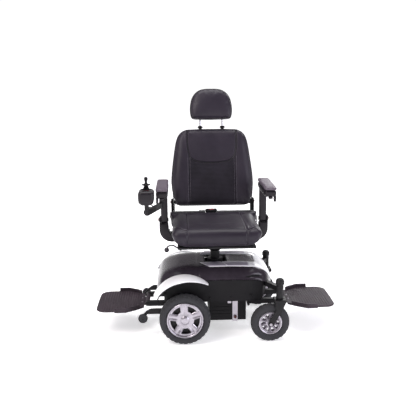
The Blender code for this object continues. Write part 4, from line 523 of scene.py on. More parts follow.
def joined(name: str, parts: Sequence[Object]) -> Object:
    """Gather parts of one material into one object.

    Args:
        name: the new object's name.
        parts: the objects, which are used up.

    Returns:
        The joined object.
    """
    data = bmesh.new()
    for part in parts:
        bake(part)
        data.from_mesh(part.data)
        bpy.data.objects.remove(part)
    return settled(name, data)


def carve(made: Object, tool: Object) -> Object:
    """Cut a tool out of an object and drop the tool.

    Args:
        made: the object.
        tool: what is cut out of it.

    Returns:
        The carved object.
    """
    modify(made, "BOOLEAN", object=tool, operation="DIFFERENCE", solver="EXACT")
    bake(made)
    bpy.data.objects.remove(tool)
    return made


def arc(centre: Point, radius: float, start: float, end: float, steps: int) -> list[Point]:
    """Points on an arc, with its angles in degrees.

    Args:
        centre: its centre.
        radius: its radius.
        start: first angle.
        end: last angle.
        steps: how many points.

    Returns:
        The points.
    """
    angles = np.radians(np.linspace(start, end, steps))
    return [(centre[0] + radius * math.cos(a), centre[1] + radius * math.sin(a)) for a in angles]


def between(a: np.ndarray, b: np.ndarray, c: np.ndarray, d: np.ndarray, t: float) -> np.ndarray:
    """Read the Catmull-Rom curve through four knots at a share t of the span from b to c."""
    return 0.5 * (2 * b + (c - a) * t + (2 * a - 5 * b + 4 * c - d) * t ** 2
                  + (3 * b - a - 3 * c + d) * t ** 3)


def curve_through(points: Sequence[Point], steps: int) -> list[np.ndarray]:
    """Read steps points per span from a Catmull-Rom curve through the points.

    Args:
        points: what the curve passes through.
        steps: points read from each span.

    Returns:
        The points of the curve.
    """
    knots = [np.array(p, dtype=float) for p in points]
    knots = [2 * knots[0] - knots[1]] + knots + [2 * knots[-1] - knots[-2]]
    line = []
    for a, b, c, d in zip(knots, knots[1:], knots[2:], knots[3:]):
        line += [between(a, b, c, d, t) for t in np.linspace(0, 1, steps, endpoint=False)]
    line.append(knots[-2])
    return line


# ---------------------------------------------------------------- common ground
@dataclass
class Assembly:
    """What every sub-assembly needs: where the seat's post stands, and how a piece is fitted."""

    post_y: float

    def fit(self, made: Object, body: str, slot: str, finish: Finish, *nodes: str,
            crease: float = 35.0) -> Object:
        """Move a finished piece to its place, dress it and hang it on its body.

        Args:
            made: the piece, modelled about the seat's post.
            body: the body it rides on.
            slot: the record's material slot; not used.
            finish: its material.
            nodes: the CAD nodes that it stands for.
            crease: edges sharper than this many degrees stay sharp.

        Returns:
            The piece.
        """
        made.data.transform(Matrix.Translation((0, self.post_y, 0)))
        made.data.shade_smooth()
        made.data.set_sharp_from_angle(angle=math.radians(crease))
        if not made.data.materials:
            made.data.materials.append(finish.material())
        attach(made, body)
        if nodes:
            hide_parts(*nodes)
        LOG.info("%s rides on %s", made.name, body)
        return made

    def dress(self, finish: Finish, *nodes: str) -> None:
        """Give CAD nodes that keep their shape a finished material.

        Args:
            finish: the material.
            nodes: the CAD nodes.
        """
        for node in nodes:
            shown = frame["nodes"][node]
            for place in shown.material_slots:
                place.material = finish.material()
            LOG.info("%s dressed in %s", node, finish.name)

    def screw(self, name: str, spot: Point, out: Point, radius: float, body: str,
              finish: Finish = ZINC, slot: str = "zinc") -> Object:
        """A button-head socket screw that stands on a face.

        Args:
            name: the object's name.
            spot: centre of its underside.
            out: the way it faces.
            radius: radius of the head.
            body: the body it rides on.
            finish: its material.
            slot: the record's material slot.

        Returns:
            The screw.
        """
        head = [(0, 0.0), (radius, 0.0), (radius, radius * 0.25), (radius * 0.82, radius * 0.55),
                (radius * 0.48, radius * 0.66), (radius * 0.44, radius * 0.30), (0, radius * 0.28)]
        made = lathe(name, head, "Z", (0, 0, 0), 24, closed=False)
        turn = Vector((0, 0, 1)).rotation_difference(Vector(out)).to_matrix().to_4x4()
        made.data.transform(Matrix.Translation(spot) @ turn)
        return self.fit(made, body, slot, finish)


# ---------------------------------------------------------------- covers
@dataclass
class Covers(Assembly):
    """Upper cover, skirt, white horseshoe trim with silver inlays, and mudguards."""

    half_width: float = 0.210
    top: float = 0.375
    rim: float = 0.320
    wall: float = 0.003
    trim_inner: float = 0.36
    trim_outer: float = 0.68
    trim_wall: float = 0.004
    inlays: tuple[tuple[float, float], ...] = ((-0.076, 0.026), (0.033, 0.172))
    inlay_slant: float = 0.026
    inlay_inset: float = 0.022
    hole_half: float = 0.060
    hole_corner: float = 0.02
    gill_start: float = 0.118
    gill_length: float = 0.128
    gill_flare: float = 0.034
    gill_depth: float = 0.0075
    fender_radius: float = 0.168
    fender_centre: tuple[float, float] = (-0.1725, 0.183)
    fender_width: float = 0.086
    fender_drop: float = 0.016

    def spine(self, s: float) -> np.ndarray:
        """Centre line of the cover at s, from 0 at the drive end to 1 at the nose.

        Args:
            s: share of the length.

        Returns:
            X and Z.
        """
        top = self.top
        keys = [(-0.322, 0.238), (-0.315, 0.290), (-0.285, 0.338), (-0.215, 0.366), (-0.140, top),
                (-0.075, top + 0.001), (0.050, top + 0.002), (0.150, top), (0.215, top - 0.006),
                (0.264, 0.345), (0.292, 0.306), (0.305, 0.262)]
        knots = [np.array(k) for k in keys]
        knots = [2 * knots[0] - knots[1]] + knots + [2 * knots[-1] - knots[-2]]
        spans = len(keys) - 1
        i = min(int(s * spans), spans - 1)
        t = s * spans - i
        return between(*knots[i:i + 4], t)

    def share_at(self, x: float) -> float:
        """How far along the spine a length x lies."""
        grid = np.linspace(0, 1, 221)
        return float(np.interp(x, [self.spine(s)[0] for s in grid], grid))

    def surface(self, s: float, v: float) -> Vector:
        """A point of the cover, v from -1 to 1 across.

        Args:
            s: share of the length.
            v: place across.

        Returns:
            The point.
        """
        x, z = self.spine(s)
        fade = min(1.0, 6.0 * s * (1 - s))
        nose = max(0.0, (s - 0.62) / 0.38)
        half = self.half_width * (1 - 0.42 * nose ** 1.6)
        drop = (self.top - self.rim) * abs(v) ** 7 * fade
        return Vector((x * (1 - 0.11 * abs(v) ** 4 * (1 - fade)), v * half, z - drop))

    def normal(self, s: float, v: float) -> Vector:
        """Outward normal of the cover.

        Args:
            s: share of the length.
            v: place across.

        Returns:
            A unit vector.
        """
        step = 0.004
        along = self.surface(min(s + step, 1), v) - self.surface(max(s - step, 0), v)
        across = self.surface(s, min(v + step, 1)) - self.surface(s, max(v - step, -1))
        return along.cross(across).normalized()

    def gill_line(self, gill: float) -> float:
        """Place across the cover of the gill's middle, at a share of its length."""
        return 0.975 - 0.055 * gill

    def press(self, x: float, v: float) -> float:
        """Depth of the channels and scoops pressed into the cover.

        Args:
            x: length along the chair.
            v: place across, from -1 to 1.

        Returns:
            The depth in metres, positive inwards.
        """
        side = abs(v)
        depth = 0.0024 * math.exp(-((x + 0.098) / 0.0032) ** 2)
        gill = (x - self.gill_start) / self.gill_length
        if 0 < gill < 1:
            leaf = gill ** 0.6 * (1 - gill ** 5)
            spread = 0.008 + self.gill_flare * gill
            depth += self.gill_depth * leaf * math.exp(-((side - self.gill_line(gill)) / spread) ** 4)
        if -0.075 < x < 0.235:
            hem = math.sin(math.pi * (x + 0.075) / 0.31) ** 0.5
            depth += 0.0022 * hem * math.exp(-((side - 0.990) / 0.010) ** 2)
        if side < 0.33 and 0.065 < x < 0.215:
            well = math.sin(math.pi * (x - 0.065) / 0.150) ** 0.3
            depth += 0.0040 * well * (1 - (side / 0.33) ** 8)
        return depth

    def build_upper(self) -> None:
        """The polished cover, with its post hole, arm cut-outs, rim bead and pressings."""
        rows, columns = 132, 76
        grid = []
        for i in range(rows):
            s = i / (rows - 1)
            row = []
            for j in range(columns):
                t = 2 * j / (columns - 1) - 1
                v = 1.5 * t - 0.5 * t ** 3
                x = self.spine(s)[0]
                row.append(self.surface(s, v) - self.normal(s, v) * self.press(x, v))
            grid.append(row)
        cover = loft("upper_cover", grid, round_ring=False)
        modify(cover, "SOLIDIFY", thickness=self.wall, offset=-1.0)
        bake(cover)
        corner = self.hole_half - self.hole_corner
        hole = arc((corner, corner), self.hole_corner, 0, 90, 8)
        hole += [(-x, y) for x, y in reversed(hole)]
        hole += [(x, -y) for x, y in reversed(hole)]
        carve(cover, prism("hole", hole, "Z", self.top - 0.03, self.top + 0.03))
        for _, side in SIDES:
            start, end = Vector((0.235, side * 0.120, 0.285)), Vector((0.321, side * 0.258, 0.285))
            along = (end - start).normalized()
            across = Vector((-along.y, along.x, 0)) * 0.0155
            rise = Vector((0, 0, 0.0155))
            corners = [[p + a * across + b * rise for a, b in ((-1, -1), (1, -1), (1, 1), (-1, 1))]
                       for p in (start, end)]
            carve(cover, loft("slot", corners))
        self.fit(cover, "chassis", "gloss_black", GLOSS_ABS, "upper_shroud", crease=50)
        # A matt black inset, darker than the cover, lies in each scoop: painted shade in the recess.
        for label, side in SIDES:
            edges: tuple[list[Point], list[Point]] = ([], [])
            for x in np.linspace(0.130, 0.243, 26):
                gill = (x - self.gill_start) / self.gill_length
                reach = 0.62 * (0.010 + self.gill_flare * gill) * (1 - gill ** 9)
                for edge, way in zip(edges, (-1, 1)):
                    edge.append((self.share_at(x), side * (self.gill_line(gill) + way * reach)))
            inset = self.strip("gill_shade_inset_" + label, edges[0], edges[1], -0.0052, 0.0022)
            self.fit(inset, "chassis", "black_plastic", MATT_PP)
        lip = [(x, y, self.top + 0.0020) for x, y in hole]
        self.fit(tube("post_hole_gasket", lip, 0.0028, 8, ring=True), "chassis", "black_plastic", RUBBER)

    def strip(self, name: str, inner: list[Point], outer: list[Point], lift: float,
              wall: float) -> Object:
        """A band between two lines of (s, v) points, laid on the cover.

        Args:
            name: the object's name.
            inner: points of one edge.
            outer: as many points of the other edge.
            lift: height of the band's underside.
            wall: its thickness.

        Returns:
            The band.
        """
        across = 9
        grid = []
        for a, b in zip(inner, outer):
            row = []
            for k in range(across):
                share = k / (across - 1)
                s, v = a[0] + (b[0] - a[0]) * share, a[1] + (b[1] - a[1]) * share
                crown = wall * (0.35 + 0.65 * (1 - (2 * share - 1) ** 8))
                row.append(self.surface(s, v) + self.normal(s, v) * (lift + crown))
            grid.append(row)
        made = loft(name, grid, round_ring=False)
        modify(made, "SOLIDIFY", thickness=wall * 0.9, offset=-1.0)
        modify(made, "BEVEL", width=0.0007, segments=2, limit_method="ANGLE")
        return bake(made)

    def build_trim(self) -> None:
        """White horseshoe round the nose, and the silver inlay on each of its arms."""
        start, corner, tip = self.share_at(-0.085), self.share_at(0.212), 0.985
        inner = [(s, self.trim_inner) for s in np.linspace(start, corner - 0.03, 34)]
        inner += [(corner - 0.03 + 0.03 * math.sin(a), self.trim_inner - 0.10 * (1 - math.cos(a)))
                  for a in np.linspace(0, math.pi / 2, 8)[1:]]
        inner += [(corner, v) for v in np.linspace(self.trim_inner - 0.10, 0, 10)[1:]]
        outer = [(s, self.trim_outer + 0.16 * max(0.0, (s - 0.60) / 0.4) ** 1.5)
                 for s in np.linspace(start + 0.040, tip - 0.12, 34)]
        edge = outer[-1][1]
        outer += [(tip - 0.12 + 0.12 * math.sin(a), edge - 0.30 * (1 - math.cos(a)))
                  for a in np.linspace(0, math.pi / 2, 8)[1:]]
        outer += [(tip, v) for v in np.linspace(edge - 0.30, 0, 10)[1:]]
        inner += [(s, -v) for s, v in reversed(inner[:-1])]
        outer += [(s, -v) for s, v in reversed(outer[:-1])]
        trim = self.strip("horseshoe_trim", inner, outer, 0.0003, self.trim_wall)
        self.fit(trim, "chassis", "white_paint", WHITE_ABS, "trim", crease=45)
        lift = 0.0006 + self.trim_wall
        for label, side in SIDES:
            pieces = []
            for low, high in self.inlays:
                slant = self.inlay_slant
                inner = [(self.share_at(x), side * (self.trim_inner + self.inlay_inset))
                         for x in np.linspace(low, high, 24)]
                outer = [(self.share_at(x), side * (self.trim_outer - self.inlay_inset))
                         for x in np.linspace(low + slant, high + slant * (high < 0.1), 24)]
                pieces.append(self.strip("inlay", inner, outer, lift, 0.0015))
            self.fit(joined("silver_inlay_" + label, pieces), "chassis", "silver_paint",
                     INLAY_LACQUER, "trim_insert_" + label, crease=45)

    def build_fenders(self) -> None:
        """Arched mudguards, each with a rolled black lip under its edge."""
        start, end, steps, across = 158.0, 44.0, 61, 17
        for label, side in SIDES:
            grid, edge = [], []
            for i in range(steps):
                share = i / (steps - 1)
                angle = math.radians(start + (end - start) * share)
                width = self.fender_width * (1 - 0.62 * abs(2 * share - 0.9) ** 2.6)
                fall = self.fender_drop * min(1.0, 1.6 * (1.12 - share))
                row = []
                for k in range(across):
                    w = k / (across - 1)
                    radius = self.fender_radius + 0.0035 - fall * w ** 2.5
                    row.append((self.fender_centre[0] + radius * math.cos(angle),
                                side * (self.half_width + 0.0003 + width * w),
                                self.fender_centre[1] + radius * math.sin(angle)))
                grid.append(row)
                radius = self.fender_radius - fall - 0.0015
                edge.append((self.fender_centre[0] + radius * math.cos(angle),
                             side * (self.half_width + width - 0.004),
                             self.fender_centre[1] + radius * math.sin(angle)))
            guard = loft("mudguard_" + label, grid, round_ring=False)
            modify(guard, "SOLIDIFY", thickness=0.0035, offset=-side)
            modify(guard, "BEVEL", width=0.0008, segments=2, limit_method="ANGLE")
            bake(guard)
            self.fit(guard, "chassis", "white_paint", WHITE_ABS, "fender_" + label, crease=45)
            self.fit(tube("mudguard_lip_" + label, edge, 0.0030, 8), "chassis", "black_plastic",
                     MATT_PP)

    def build(self) -> None:
        """Make and dress every cover."""
        self.build_upper()
        self.build_trim()
        self.build_fenders()
        self.dress(MATT_PP, "lower_shroud")
        for label, side in SIDES:
            for i, (x, z) in enumerate(((-0.235, 0.235), (-0.040, 0.225), (0.070, 0.225), (0.180, 0.235))):
                self.screw(f"skirt_screw_{label}_{i}", (x, side * 0.2093, z), (0, side, 0), 0.0055,
                           "chassis", MATT_PP, "black_plastic")


# ---------------------------------------------------------------- wheels
@dataclass
class Wheels(Assembly):
    """Tyres with their treads, cast rims, hub caps and rollers."""

    drive_radius: float = 0.133
    drive_seat: float = 0.097
    drive_width: float = 0.074
    drive_x: float = -0.1725
    drive_track: float = 0.262
    caster_radius: float = 0.102
    caster_seat: float = 0.062
    caster_width: float = 0.048
    caster_x: float = 0.272
    caster_track: float = 0.258

    def tyre(self, name: str, centre: Point, radius: float, seat: float, width: float,
             blocks: int) -> Object:
        """A tyre with round walls, two ring grooves and a row of shoulder blocks.

        Args:
            name: the object's name.
            centre: the wheel's centre.
            radius: outer radius.
            seat: radius of the rim's seat.
            width: width across the walls.
            blocks: how many tread blocks go round.

        Returns:
            The tyre.
        """
        half = width / 2
        middle = seat + (radius - seat) * 0.42
        profile = [(seat, half * 0.66), (seat + 0.002, half * 0.80), (seat + 0.005, half * 0.86),
                   (seat + 0.0065, half * 0.90)]
        for angle in np.radians(np.linspace(90, -90, 41)):
            across = half * math.copysign(abs(math.sin(angle)) ** 0.82, angle)
            profile.append((middle + (radius - middle) * math.cos(angle) ** 0.62, across))
        profile += [(r, -h) for r, h in reversed(profile[:4])]
        per_block = 6
        rings = []
        for i in range(blocks * per_block):
            angle = 2 * math.pi * i / (blocks * per_block)
            ring = []
            for r, h in profile:
                share = abs(h) / half
                depth = 0.0
                if r > middle + (radius - middle) * 0.55:
                    shift = per_block // 2 if h > 0 else 0
                    if (i + shift) % per_block < 2 and share > 0.34:
                        depth = 0.0026
                    if 0.24 < share < 0.33:
                        depth = 0.0030
                reach = r - depth
                ring.append((centre[0] + reach * math.cos(angle), centre[1] + h,
                             centre[2] + reach * math.sin(angle)))
            rings.append(ring)
        return loft(name, rings, round_rows=True, caps=False)

    def spoked(self, name: str, centre: Point, side: int, radii: Sequence[float],
               window: tuple[float, float], spokes: int, spread: Callable[[float], float],
               height: Callable[[float, float], float], wall: float, first: float) -> Object:
        """A cast disc whose windows leave spokes between them.

        Args:
            name: the object's name.
            centre: the wheel's centre.
            side: -1 or 1, the way the face looks along Y.
            radii: rows of the mesh, from the hub outwards.
            window: inner and outer radius of the windows.
            spokes: how many spokes there are.
            spread: half the angle of a window at a radius, in radians.
            height: rise of the face at a radius and a place across the spoke, -1 to 1.
            wall: thickness of the disc.
            first: angle of the first window.

        Returns:
            The disc.
        """
        pitch = 2 * math.pi / spokes
        cells_window, cells_spoke = 8, 10
        columns = cells_window + cells_spoke
        points, faces = [], []
        for r in radii:
            gap = spread(r)
            for k in range(spokes):
                for j in range(columns):
                    if j < cells_window:
                        angle, t = -gap + 2 * gap * j / cells_window, 1.0
                    else:
                        t = 2 * (j - cells_window) / cells_spoke - 1
                        angle = gap + (pitch - 2 * gap) * (j - cells_window) / cells_spoke
                    turn = first + k * pitch + angle
                    rise = height(r, t)
                    points.append((centre[0] + r * math.cos(turn), centre[1] + side * rise,
                                   centre[2] + r * math.sin(turn)))
        total = spokes * columns
        for i in range(len(radii) - 1):
            open_row = window[0] - 1e-6 <= radii[i] and radii[i + 1] <= window[1] + 1e-6
            for j in range(total):
                if open_row and j % columns < cells_window:
                    continue
                k = (j + 1) % total
                faces.append((i * total + j, i * total + k, (i + 1) * total + k, (i + 1) * total + j))
        made = mesh_object(name, points, faces)
        data = bmesh.new()
        data.from_mesh(made.data)
        for face in data.faces:
            if face.normal.y * side < 0:
                face.normal_flip()
        data.to_mesh(made.data)
        data.free()
        modify(made, "SOLIDIFY", thickness=wall, offset=-1.0)
        modify(made, "BEVEL", width=0.0010, segments=2, limit_method="ANGLE",
               angle_limit=math.radians(50))
        return bake(made)

    def build_drive(self) -> None:
        """Drive wheels: grooved tyre, five-spoke alloy rim and hub cap."""
        for label, side in SIDES:
            body = "drive_wheel_" + label
            centre = (self.drive_x, side * self.drive_track, self.drive_radius)
            tyre = self.tyre("drive_tyre_tread_" + label, centre, self.drive_radius, self.drive_seat,
                             self.drive_width, 30)
            self.fit(tyre, body, "tyre_rubber", RUBBER, "drive_tyre_" + label, crease=40)

            lip = [(0.0967, 0.0245), (0.0957, 0.0300), (0.0930, 0.0322), (0.0895, 0.0318),
                   (0.0868, 0.0290), (0.0850, 0.0230), (0.0845, 0.0150), (0.0900, 0.0150)]
            ring = lathe("barrel", [(r, side * h) for r, h in lip], "Y", centre, 96)
            # The inner barrel and a disc just behind the spokes are black powder coat: painted shade that
            # keeps the rim's windows dark.
            well = [(0.0966, 0.0240), (0.0900, 0.0145), (0.0838, 0.0140), (0.0838, -0.0150),
                    (0.0870, -0.0235), (0.0966, -0.0245)]
            back = [(0.0250, -0.0010), (0.0836, -0.0010), (0.0836, -0.0040), (0.0250, -0.0040)]
            parts = [lathe("well", [(r, side * h) for r, h in loop], "Y", centre, 64)
                     for loop in (well, back)]
            self.fit(joined("drive_rim_shade_well_" + label, parts), body, "silver_paint", POWDER)

            def rise(r: float, t: float) -> float:
                """Dished face with a raised flute along each edge of a spoke.

                Args:
                    r: radius on the wheel.
                    t: place across the spoke, -1 to 1.

                Returns:
                    The face's height.
                """
                dish = 0.0215 - 0.0060 * math.sin(math.pi * min(1.0, max(0.0, (r - 0.022) / 0.066)))
                flute = 0.0052 * math.exp(-((abs(t) - 0.62) / 0.24) ** 2)
                fade = min(1.0, max(0.0, (r - 0.036) / 0.012)) * min(1.0, max(0.0, (0.087 - r) / 0.008))
                return dish + flute * fade

            radii = [0.0090, 0.016, 0.0225, 0.0290, 0.0345, 0.0400, 0.0440, 0.0470, 0.0500, 0.0555,
                     0.0615, 0.0675, 0.0720, 0.0745, 0.0765, 0.0790, 0.0820, 0.0850]
            face = self.spoked("face", centre, side, radii, (0.0470, 0.0765), 5,
                               lambda r: 0.225 + 0.145 * min(1.0, max(0.0, (r - 0.047) / 0.0295)),
                               rise, 0.0130, math.radians(58))
            self.fit(joined("drive_rim_cast_" + label, [ring, face]), body, "silver_paint",
                     SILVER_LACQUER, "drive_rim_" + label, crease=42)

            cap = [(0.0001, 0.0315), (0.0100, 0.0312), (0.0150, 0.0305), (0.0185, 0.0290),
                   (0.0200, 0.0275), (0.0225, 0.0265), (0.0240, 0.0245), (0.0240, 0.0220),
                   (0.0085, 0.0220), (0.0085, -0.0240), (0.0160, -0.0243), (0.0160, -0.0545),
                   (0.0085, -0.0550), (0.0085, -0.0690), (0.0001, -0.0690)]
            hub = lathe("hub_cap_" + label, [(r, side * h) for r, h in cap], "Y", centre, 48, False)
            self.fit(hub, body, "silver_paint", SILVER_LACQUER, "drive_axle_" + label)

    def build_casters(self) -> None:
        """Caster wheels: ribbed tyre and a rim with ten split spokes."""
        for label, side in SIDES:
            body = "caster_wheel_" + label
            centre = (self.caster_x, side * self.caster_track, self.caster_radius)
            tyre = self.tyre("caster_tyre_tread_" + label, centre, self.caster_radius,
                             self.caster_seat, self.caster_width, 24)
            self.fit(tyre, body, "tyre_rubber", RUBBER, "caster_tyre_" + label, crease=40)
            barrel = [(0.0617, 0.0145), (0.0605, 0.0190), (0.0570, 0.0205), (0.0535, 0.0190),
                      (0.0515, 0.0150), (0.0510, 0.0), (0.0515, -0.0150), (0.0535, -0.0190),
                      (0.0570, -0.0205), (0.0605, -0.0190), (0.0617, -0.0145)]
            hub = [(0.0045, 0.0268), (0.0110, 0.0268), (0.0135, 0.0255), (0.0145, 0.0180),
                   (0.0145, -0.0180), (0.0135, -0.0255), (0.0110, -0.0268), (0.0045, -0.0268)]
            parts = [lathe("barrel", barrel, "Y", centre, 80), lathe("hub", hub, "Y", centre, 40)]
            radii = [0.0140, 0.0180, 0.0205, 0.0220, 0.0260, 0.0310, 0.0360, 0.0410, 0.0450, 0.0490,
                     0.0515]
            for way in (-1, 1):
                parts.append(self.spoked(
                    "web", centre, way, radii, (0.0220, 0.0490), 10,
                    lambda r: 0.225 + 0.050 * min(1.0, max(0.0, (r - 0.022) / 0.027)),
                    lambda r, t: 0.0145 - 0.0035 * math.exp(-(t / 0.30) ** 2), 0.0060, 0.0))
            self.fit(joined("caster_rim_cast_" + label, parts), body, "silver_paint",
                     SILVER_LACQUER, "caster_rim_" + label, crease=42)

    def build(self) -> None:
        """Make every wheel and dress what keeps its shape."""
        self.build_drive()
        self.build_casters()
        self.dress(RUBBER, "anti_tip_roller_near", "anti_tip_roller_far")
        self.dress(POWDER, "caster_fork_near", "caster_fork_far")
        self.dress(ZINC, "caster_axle_near", "caster_axle_far")


# ---------------------------------------------------------------- chassis
@dataclass
class Chassis(Assembly):
    """Frame, batteries, motors and footplates."""

    tread_z: float = 0.142
    root: float = 0.394
    rib_pitch: float = 0.0138
    ribs: int = 15

    def half_span(self, run: float) -> float:
        """Half the width that a rib may have, run metres out from the footplate's root."""
        return float(np.interp(run, [0.02, 0.045, 0.095, 0.158, 0.205, 0.235, 0.25],
                               [0.088, 0.112, 0.140, 0.140, 0.138, 0.112, 0.070]))

    def build_footplates(self) -> None:
        """Raised shoe-grip ribs and two screws on each footplate."""
        for label, way in (("front", -1), ("rear", 1)):
            body = "footplate_" + label
            self.dress(TREAD_NYLON, body)
            parts = []
            for i in range(self.ribs):
                run = 0.030 + i * self.rib_pitch
                x = way * (self.root + run)
                reach = self.half_span(run)
                outline = arc((0.0, 0.0), 0.0022, 0, 180, 7)
                rings = []
                for y in (-reach, -reach + 0.002, reach - 0.002, reach):
                    scale = 0.4 if abs(y) > reach - 0.001 else 1.0
                    rings.append([(x + u * scale, y, self.tread_z - 0.0002 + v * 0.75 * scale)
                                  for u, v in outline])
                parts.append(loft("rib", rings))
            self.fit(joined(f"footplate_{label}_ribs", parts), body, "black_plastic", TREAD_NYLON)
            for side in (-1, 1):
                self.screw(f"footplate_{label}_screw_{side + 1}",
                           (way * (self.root + 0.012), side * 0.030, self.tread_z - 0.0012),
                           (0, 0, 1), 0.0050, body)

    def far_side(self, made: Object, side: int) -> Object:
        """Mirror a near-side piece to the far side.

        Args:
            made: the piece, made for the near side.
            side: -1 keeps it there, 1 mirrors it.

        Returns:
            The piece.
        """
        if side > 0:
            made.data.transform(Matrix.Scale(-1, 4, (0, 1, 0)))
            made.data.flip_normals()
        return made

    def build(self) -> None:
        """Dress the frame and its passengers, and add the small fittings."""
        self.dress(POWDER, "chassis_frame", "seat_post", "foot_bracket_front", "foot_bracket_rear",
                   "gear_motor_near", "gear_motor_far")
        self.dress(MATT_PP, "battery_box")
        self.dress(GREY_ABS, "battery_near", "battery_far")
        self.dress(ZINC, "battery_strap", "power_module")
        self.build_footplates()
        for label, side in SIDES:
            self.screw("strap_bolt_" + label, (0.099, side * 0.1592, 0.094), (0, side, 0), 0.0085,
                       "chassis", BROWNED)
            latch = rounded_box("box_latch_" + label, (0.058, -0.1545, 0.170), (0.078, -0.1500, 0.192),
                                0.0018, 6)
            self.fit(self.far_side(latch, side), "chassis", "zinc", ZINC)
            ridges = []
            for z in (0.104, 0.124, 0.144):
                rail = rounded_box("ridge", (-0.030, -0.1520, z), (0.076, -0.1496, z + 0.006), 0.0011, 6)
                ridges.append(self.far_side(rail, side))
            self.fit(joined("box_ridges_" + label, ridges), "chassis", "black_plastic", MATT_PP)


# ---------------------------------------------------------------- upholstery
@dataclass
class Upholstery(Assembly):
    """Cushions blown up by cloth simulation, with their seams, piping and stitches."""

    voxel: float = 0.0055
    frames: int = 20
    pressure: float = 4.0

    def coordinates(self, made: Object) -> np.ndarray:
        """All of a mesh's points as an array.

        Args:
            made: the object.

        Returns:
            One row for each point.
        """
        flat = np.empty(len(made.data.vertices) * 3)
        made.data.vertices.foreach_get("co", flat)
        return flat.reshape(-1, 3)

    def inflate(self, made: Object, held: Callable[[np.ndarray], np.ndarray], cap: float,
                low: Point, high: Point) -> Object:
        """Swell a closed form under pressure inside its cover, then refine its mesh.

        Args:
            made: the slightly small form.
            held: picks the points sewn down, from an array of points.
            cap: the most that a point may move.
            low: lowest corner of the space it may fill.
            high: highest corner of that space.

        Returns:
            The same object, swollen.
        """
        modify(made, "REMESH", mode="VOXEL", voxel_size=self.voxel)
        bake(made)
        start = self.coordinates(made)
        scene = bpy.context.scene
        sewn = made.vertex_groups.new(name="sewn")
        sewn.add([int(i) for i in np.flatnonzero(held(start))], 1.0, "REPLACE")
        cloth = made.modifiers.new("Cloth", "CLOTH")
        cloth.settings.quality = 4
        cloth.settings.mass = 0.3
        cloth.settings.vertex_group_mass = "sewn"
        cloth.settings.use_pressure = True
        cloth.settings.uniform_pressure_force = self.pressure
        cloth.settings.effector_weights.gravity = 0.0
        cloth.collision_settings.use_collision = False
        cloth.point_cache.frame_end = self.frames
        for step in range(1, self.frames + 1):
            scene.frame_set(step)
        graph = bpy.context.evaluated_depsgraph_get()
        mesh = bpy.data.meshes.new_from_object(made.evaluated_get(graph))
        flat = np.empty(len(mesh.vertices) * 3)
        mesh.vertices.foreach_get("co", flat)
        move = flat.reshape(-1, 3) - start
        length = np.linalg.norm(move, axis=1, keepdims=True)
        move *= np.minimum(1.0, cap / np.maximum(length, 1e-9))
        made.modifiers.clear()
        made.vertex_groups.clear()
        made.data.vertices.foreach_set("co", np.clip(start + move, low, high).ravel())
        bpy.data.meshes.remove(mesh)
        scene.frame_set(1)
        modify(made, "SMOOTH", factor=0.5, iterations=3)
        modify(made, "SUBSURF", levels=1, render_levels=1)
        return bake(made)

    def lay(self, made: Object, line: Sequence[Point], towards: Point,
            lift: float = 0.0) -> list[Vector]:
        """Drop a line of points on to a surface.

        Args:
            made: the surface.
            line: points outside it.
            towards: the way they fall.
            lift: how far above the surface they stop.

        Returns:
            The points that landed.
        """
        bpy.context.view_layer.update()
        graph = bpy.context.evaluated_depsgraph_get()
        tree = BVHTree.FromObject(made, graph)
        way = Vector(towards).normalized()
        landed = []
        for spot in line:
            hit, normal, _, _ = tree.ray_cast(Vector(spot) - way * 0.15, way, 0.5)
            if hit is not None:
                landed.append(hit + normal * lift)
        return landed

    def hug(self, made: Object, line: Sequence[Point], lift: float = 0.0) -> list[Vector]:
        """Move each point of a line to the nearest place on a surface.

        Args:
            made: the surface.
            line: points near it.
            lift: how far above it they end.

        Returns:
            The moved points.
        """
        bpy.context.view_layer.update()
        tree = BVHTree.FromObject(made, bpy.context.evaluated_depsgraph_get())
        moved = []
        for spot in line:
            hit, normal, _, _ = tree.find_nearest(Vector(spot))
            moved.append(hit + normal * lift)
        return moved

    def groove(self, made: Object, lines: Sequence[Sequence[Vector]], width: float,
               depth: float) -> Object:
        """Press seams into a surface, deepest on the line and fading over width.

        Args:
            made: the object.
            lines: the seams.
            width: how far a seam fades.
            depth: how deep it is.

        Returns:
            The same object.
        """
        samples = []
        for line in lines:
            for a, b in zip(line, line[1:]):
                count = max(1, int((b - a).length / 0.0015))
                samples += [a.lerp(b, k / count) for k in range(count)]
        tree = KDTree(len(samples))
        for i, spot in enumerate(samples):
            tree.insert(spot, i)
        tree.balance()
        mesh = made.data
        normals = [n.vector.copy() for n in mesh.vertex_normals]
        for vert, normal in zip(mesh.vertices, normals):
            _, _, gap = tree.find(vert.co)
            if gap < 3 * width:
                press = depth * math.exp(-(gap / width) ** 2)
                swell = 0.25 * depth * math.exp(-((gap - 2 * width) / width) ** 2)
                vert.co -= normal * (press - swell)
        return made

    def stitches(self, name: str, lines: Sequence[Sequence[Vector]], pitch: float = 0.0085,
                 length: float = 0.0060, radius: float = 0.0007) -> Object:
        """Top-stitching: short threads end to end along lines.

        Args:
            name: the object's name.
            lines: where the rows run.
            pitch: from one stitch to the next.
            length: length of a stitch.
            radius: radius of the thread.

        Returns:
            All the stitches.
        """
        parts = []
        for line in lines:
            steps = [0.0]
            for a, b in zip(line, line[1:]):
                steps.append(steps[-1] + (b - a).length)
            table = np.array([tuple(p) for p in line])
            for at in np.arange(pitch, steps[-1] - pitch, pitch):
                spots = [Vector([float(np.interp(at + o, steps, table[:, k])) for k in range(3)])
                         for o in (-length / 2, -length / 4, 0.0, length / 4, length / 2)]
                parts.append(tube("stitch", spots, radius, 6))
        return joined(name, parts)

    def paint_panels(self, made: Object, inside: Callable[[np.ndarray], np.ndarray],
                     finish: Finish) -> None:
        """Give the faces that a test picks a second finish.

        Args:
            made: the object.
            inside: the test, on an array of centres.
            finish: the second finish.
        """
        mesh = made.data
        mesh.materials.append(VINYL.material())
        mesh.materials.append(finish.material())
        centres = np.array([tuple(p.center) for p in mesh.polygons])
        picked = inside(centres).astype(np.int32)
        mesh.polygons.foreach_set("material_index", picked)


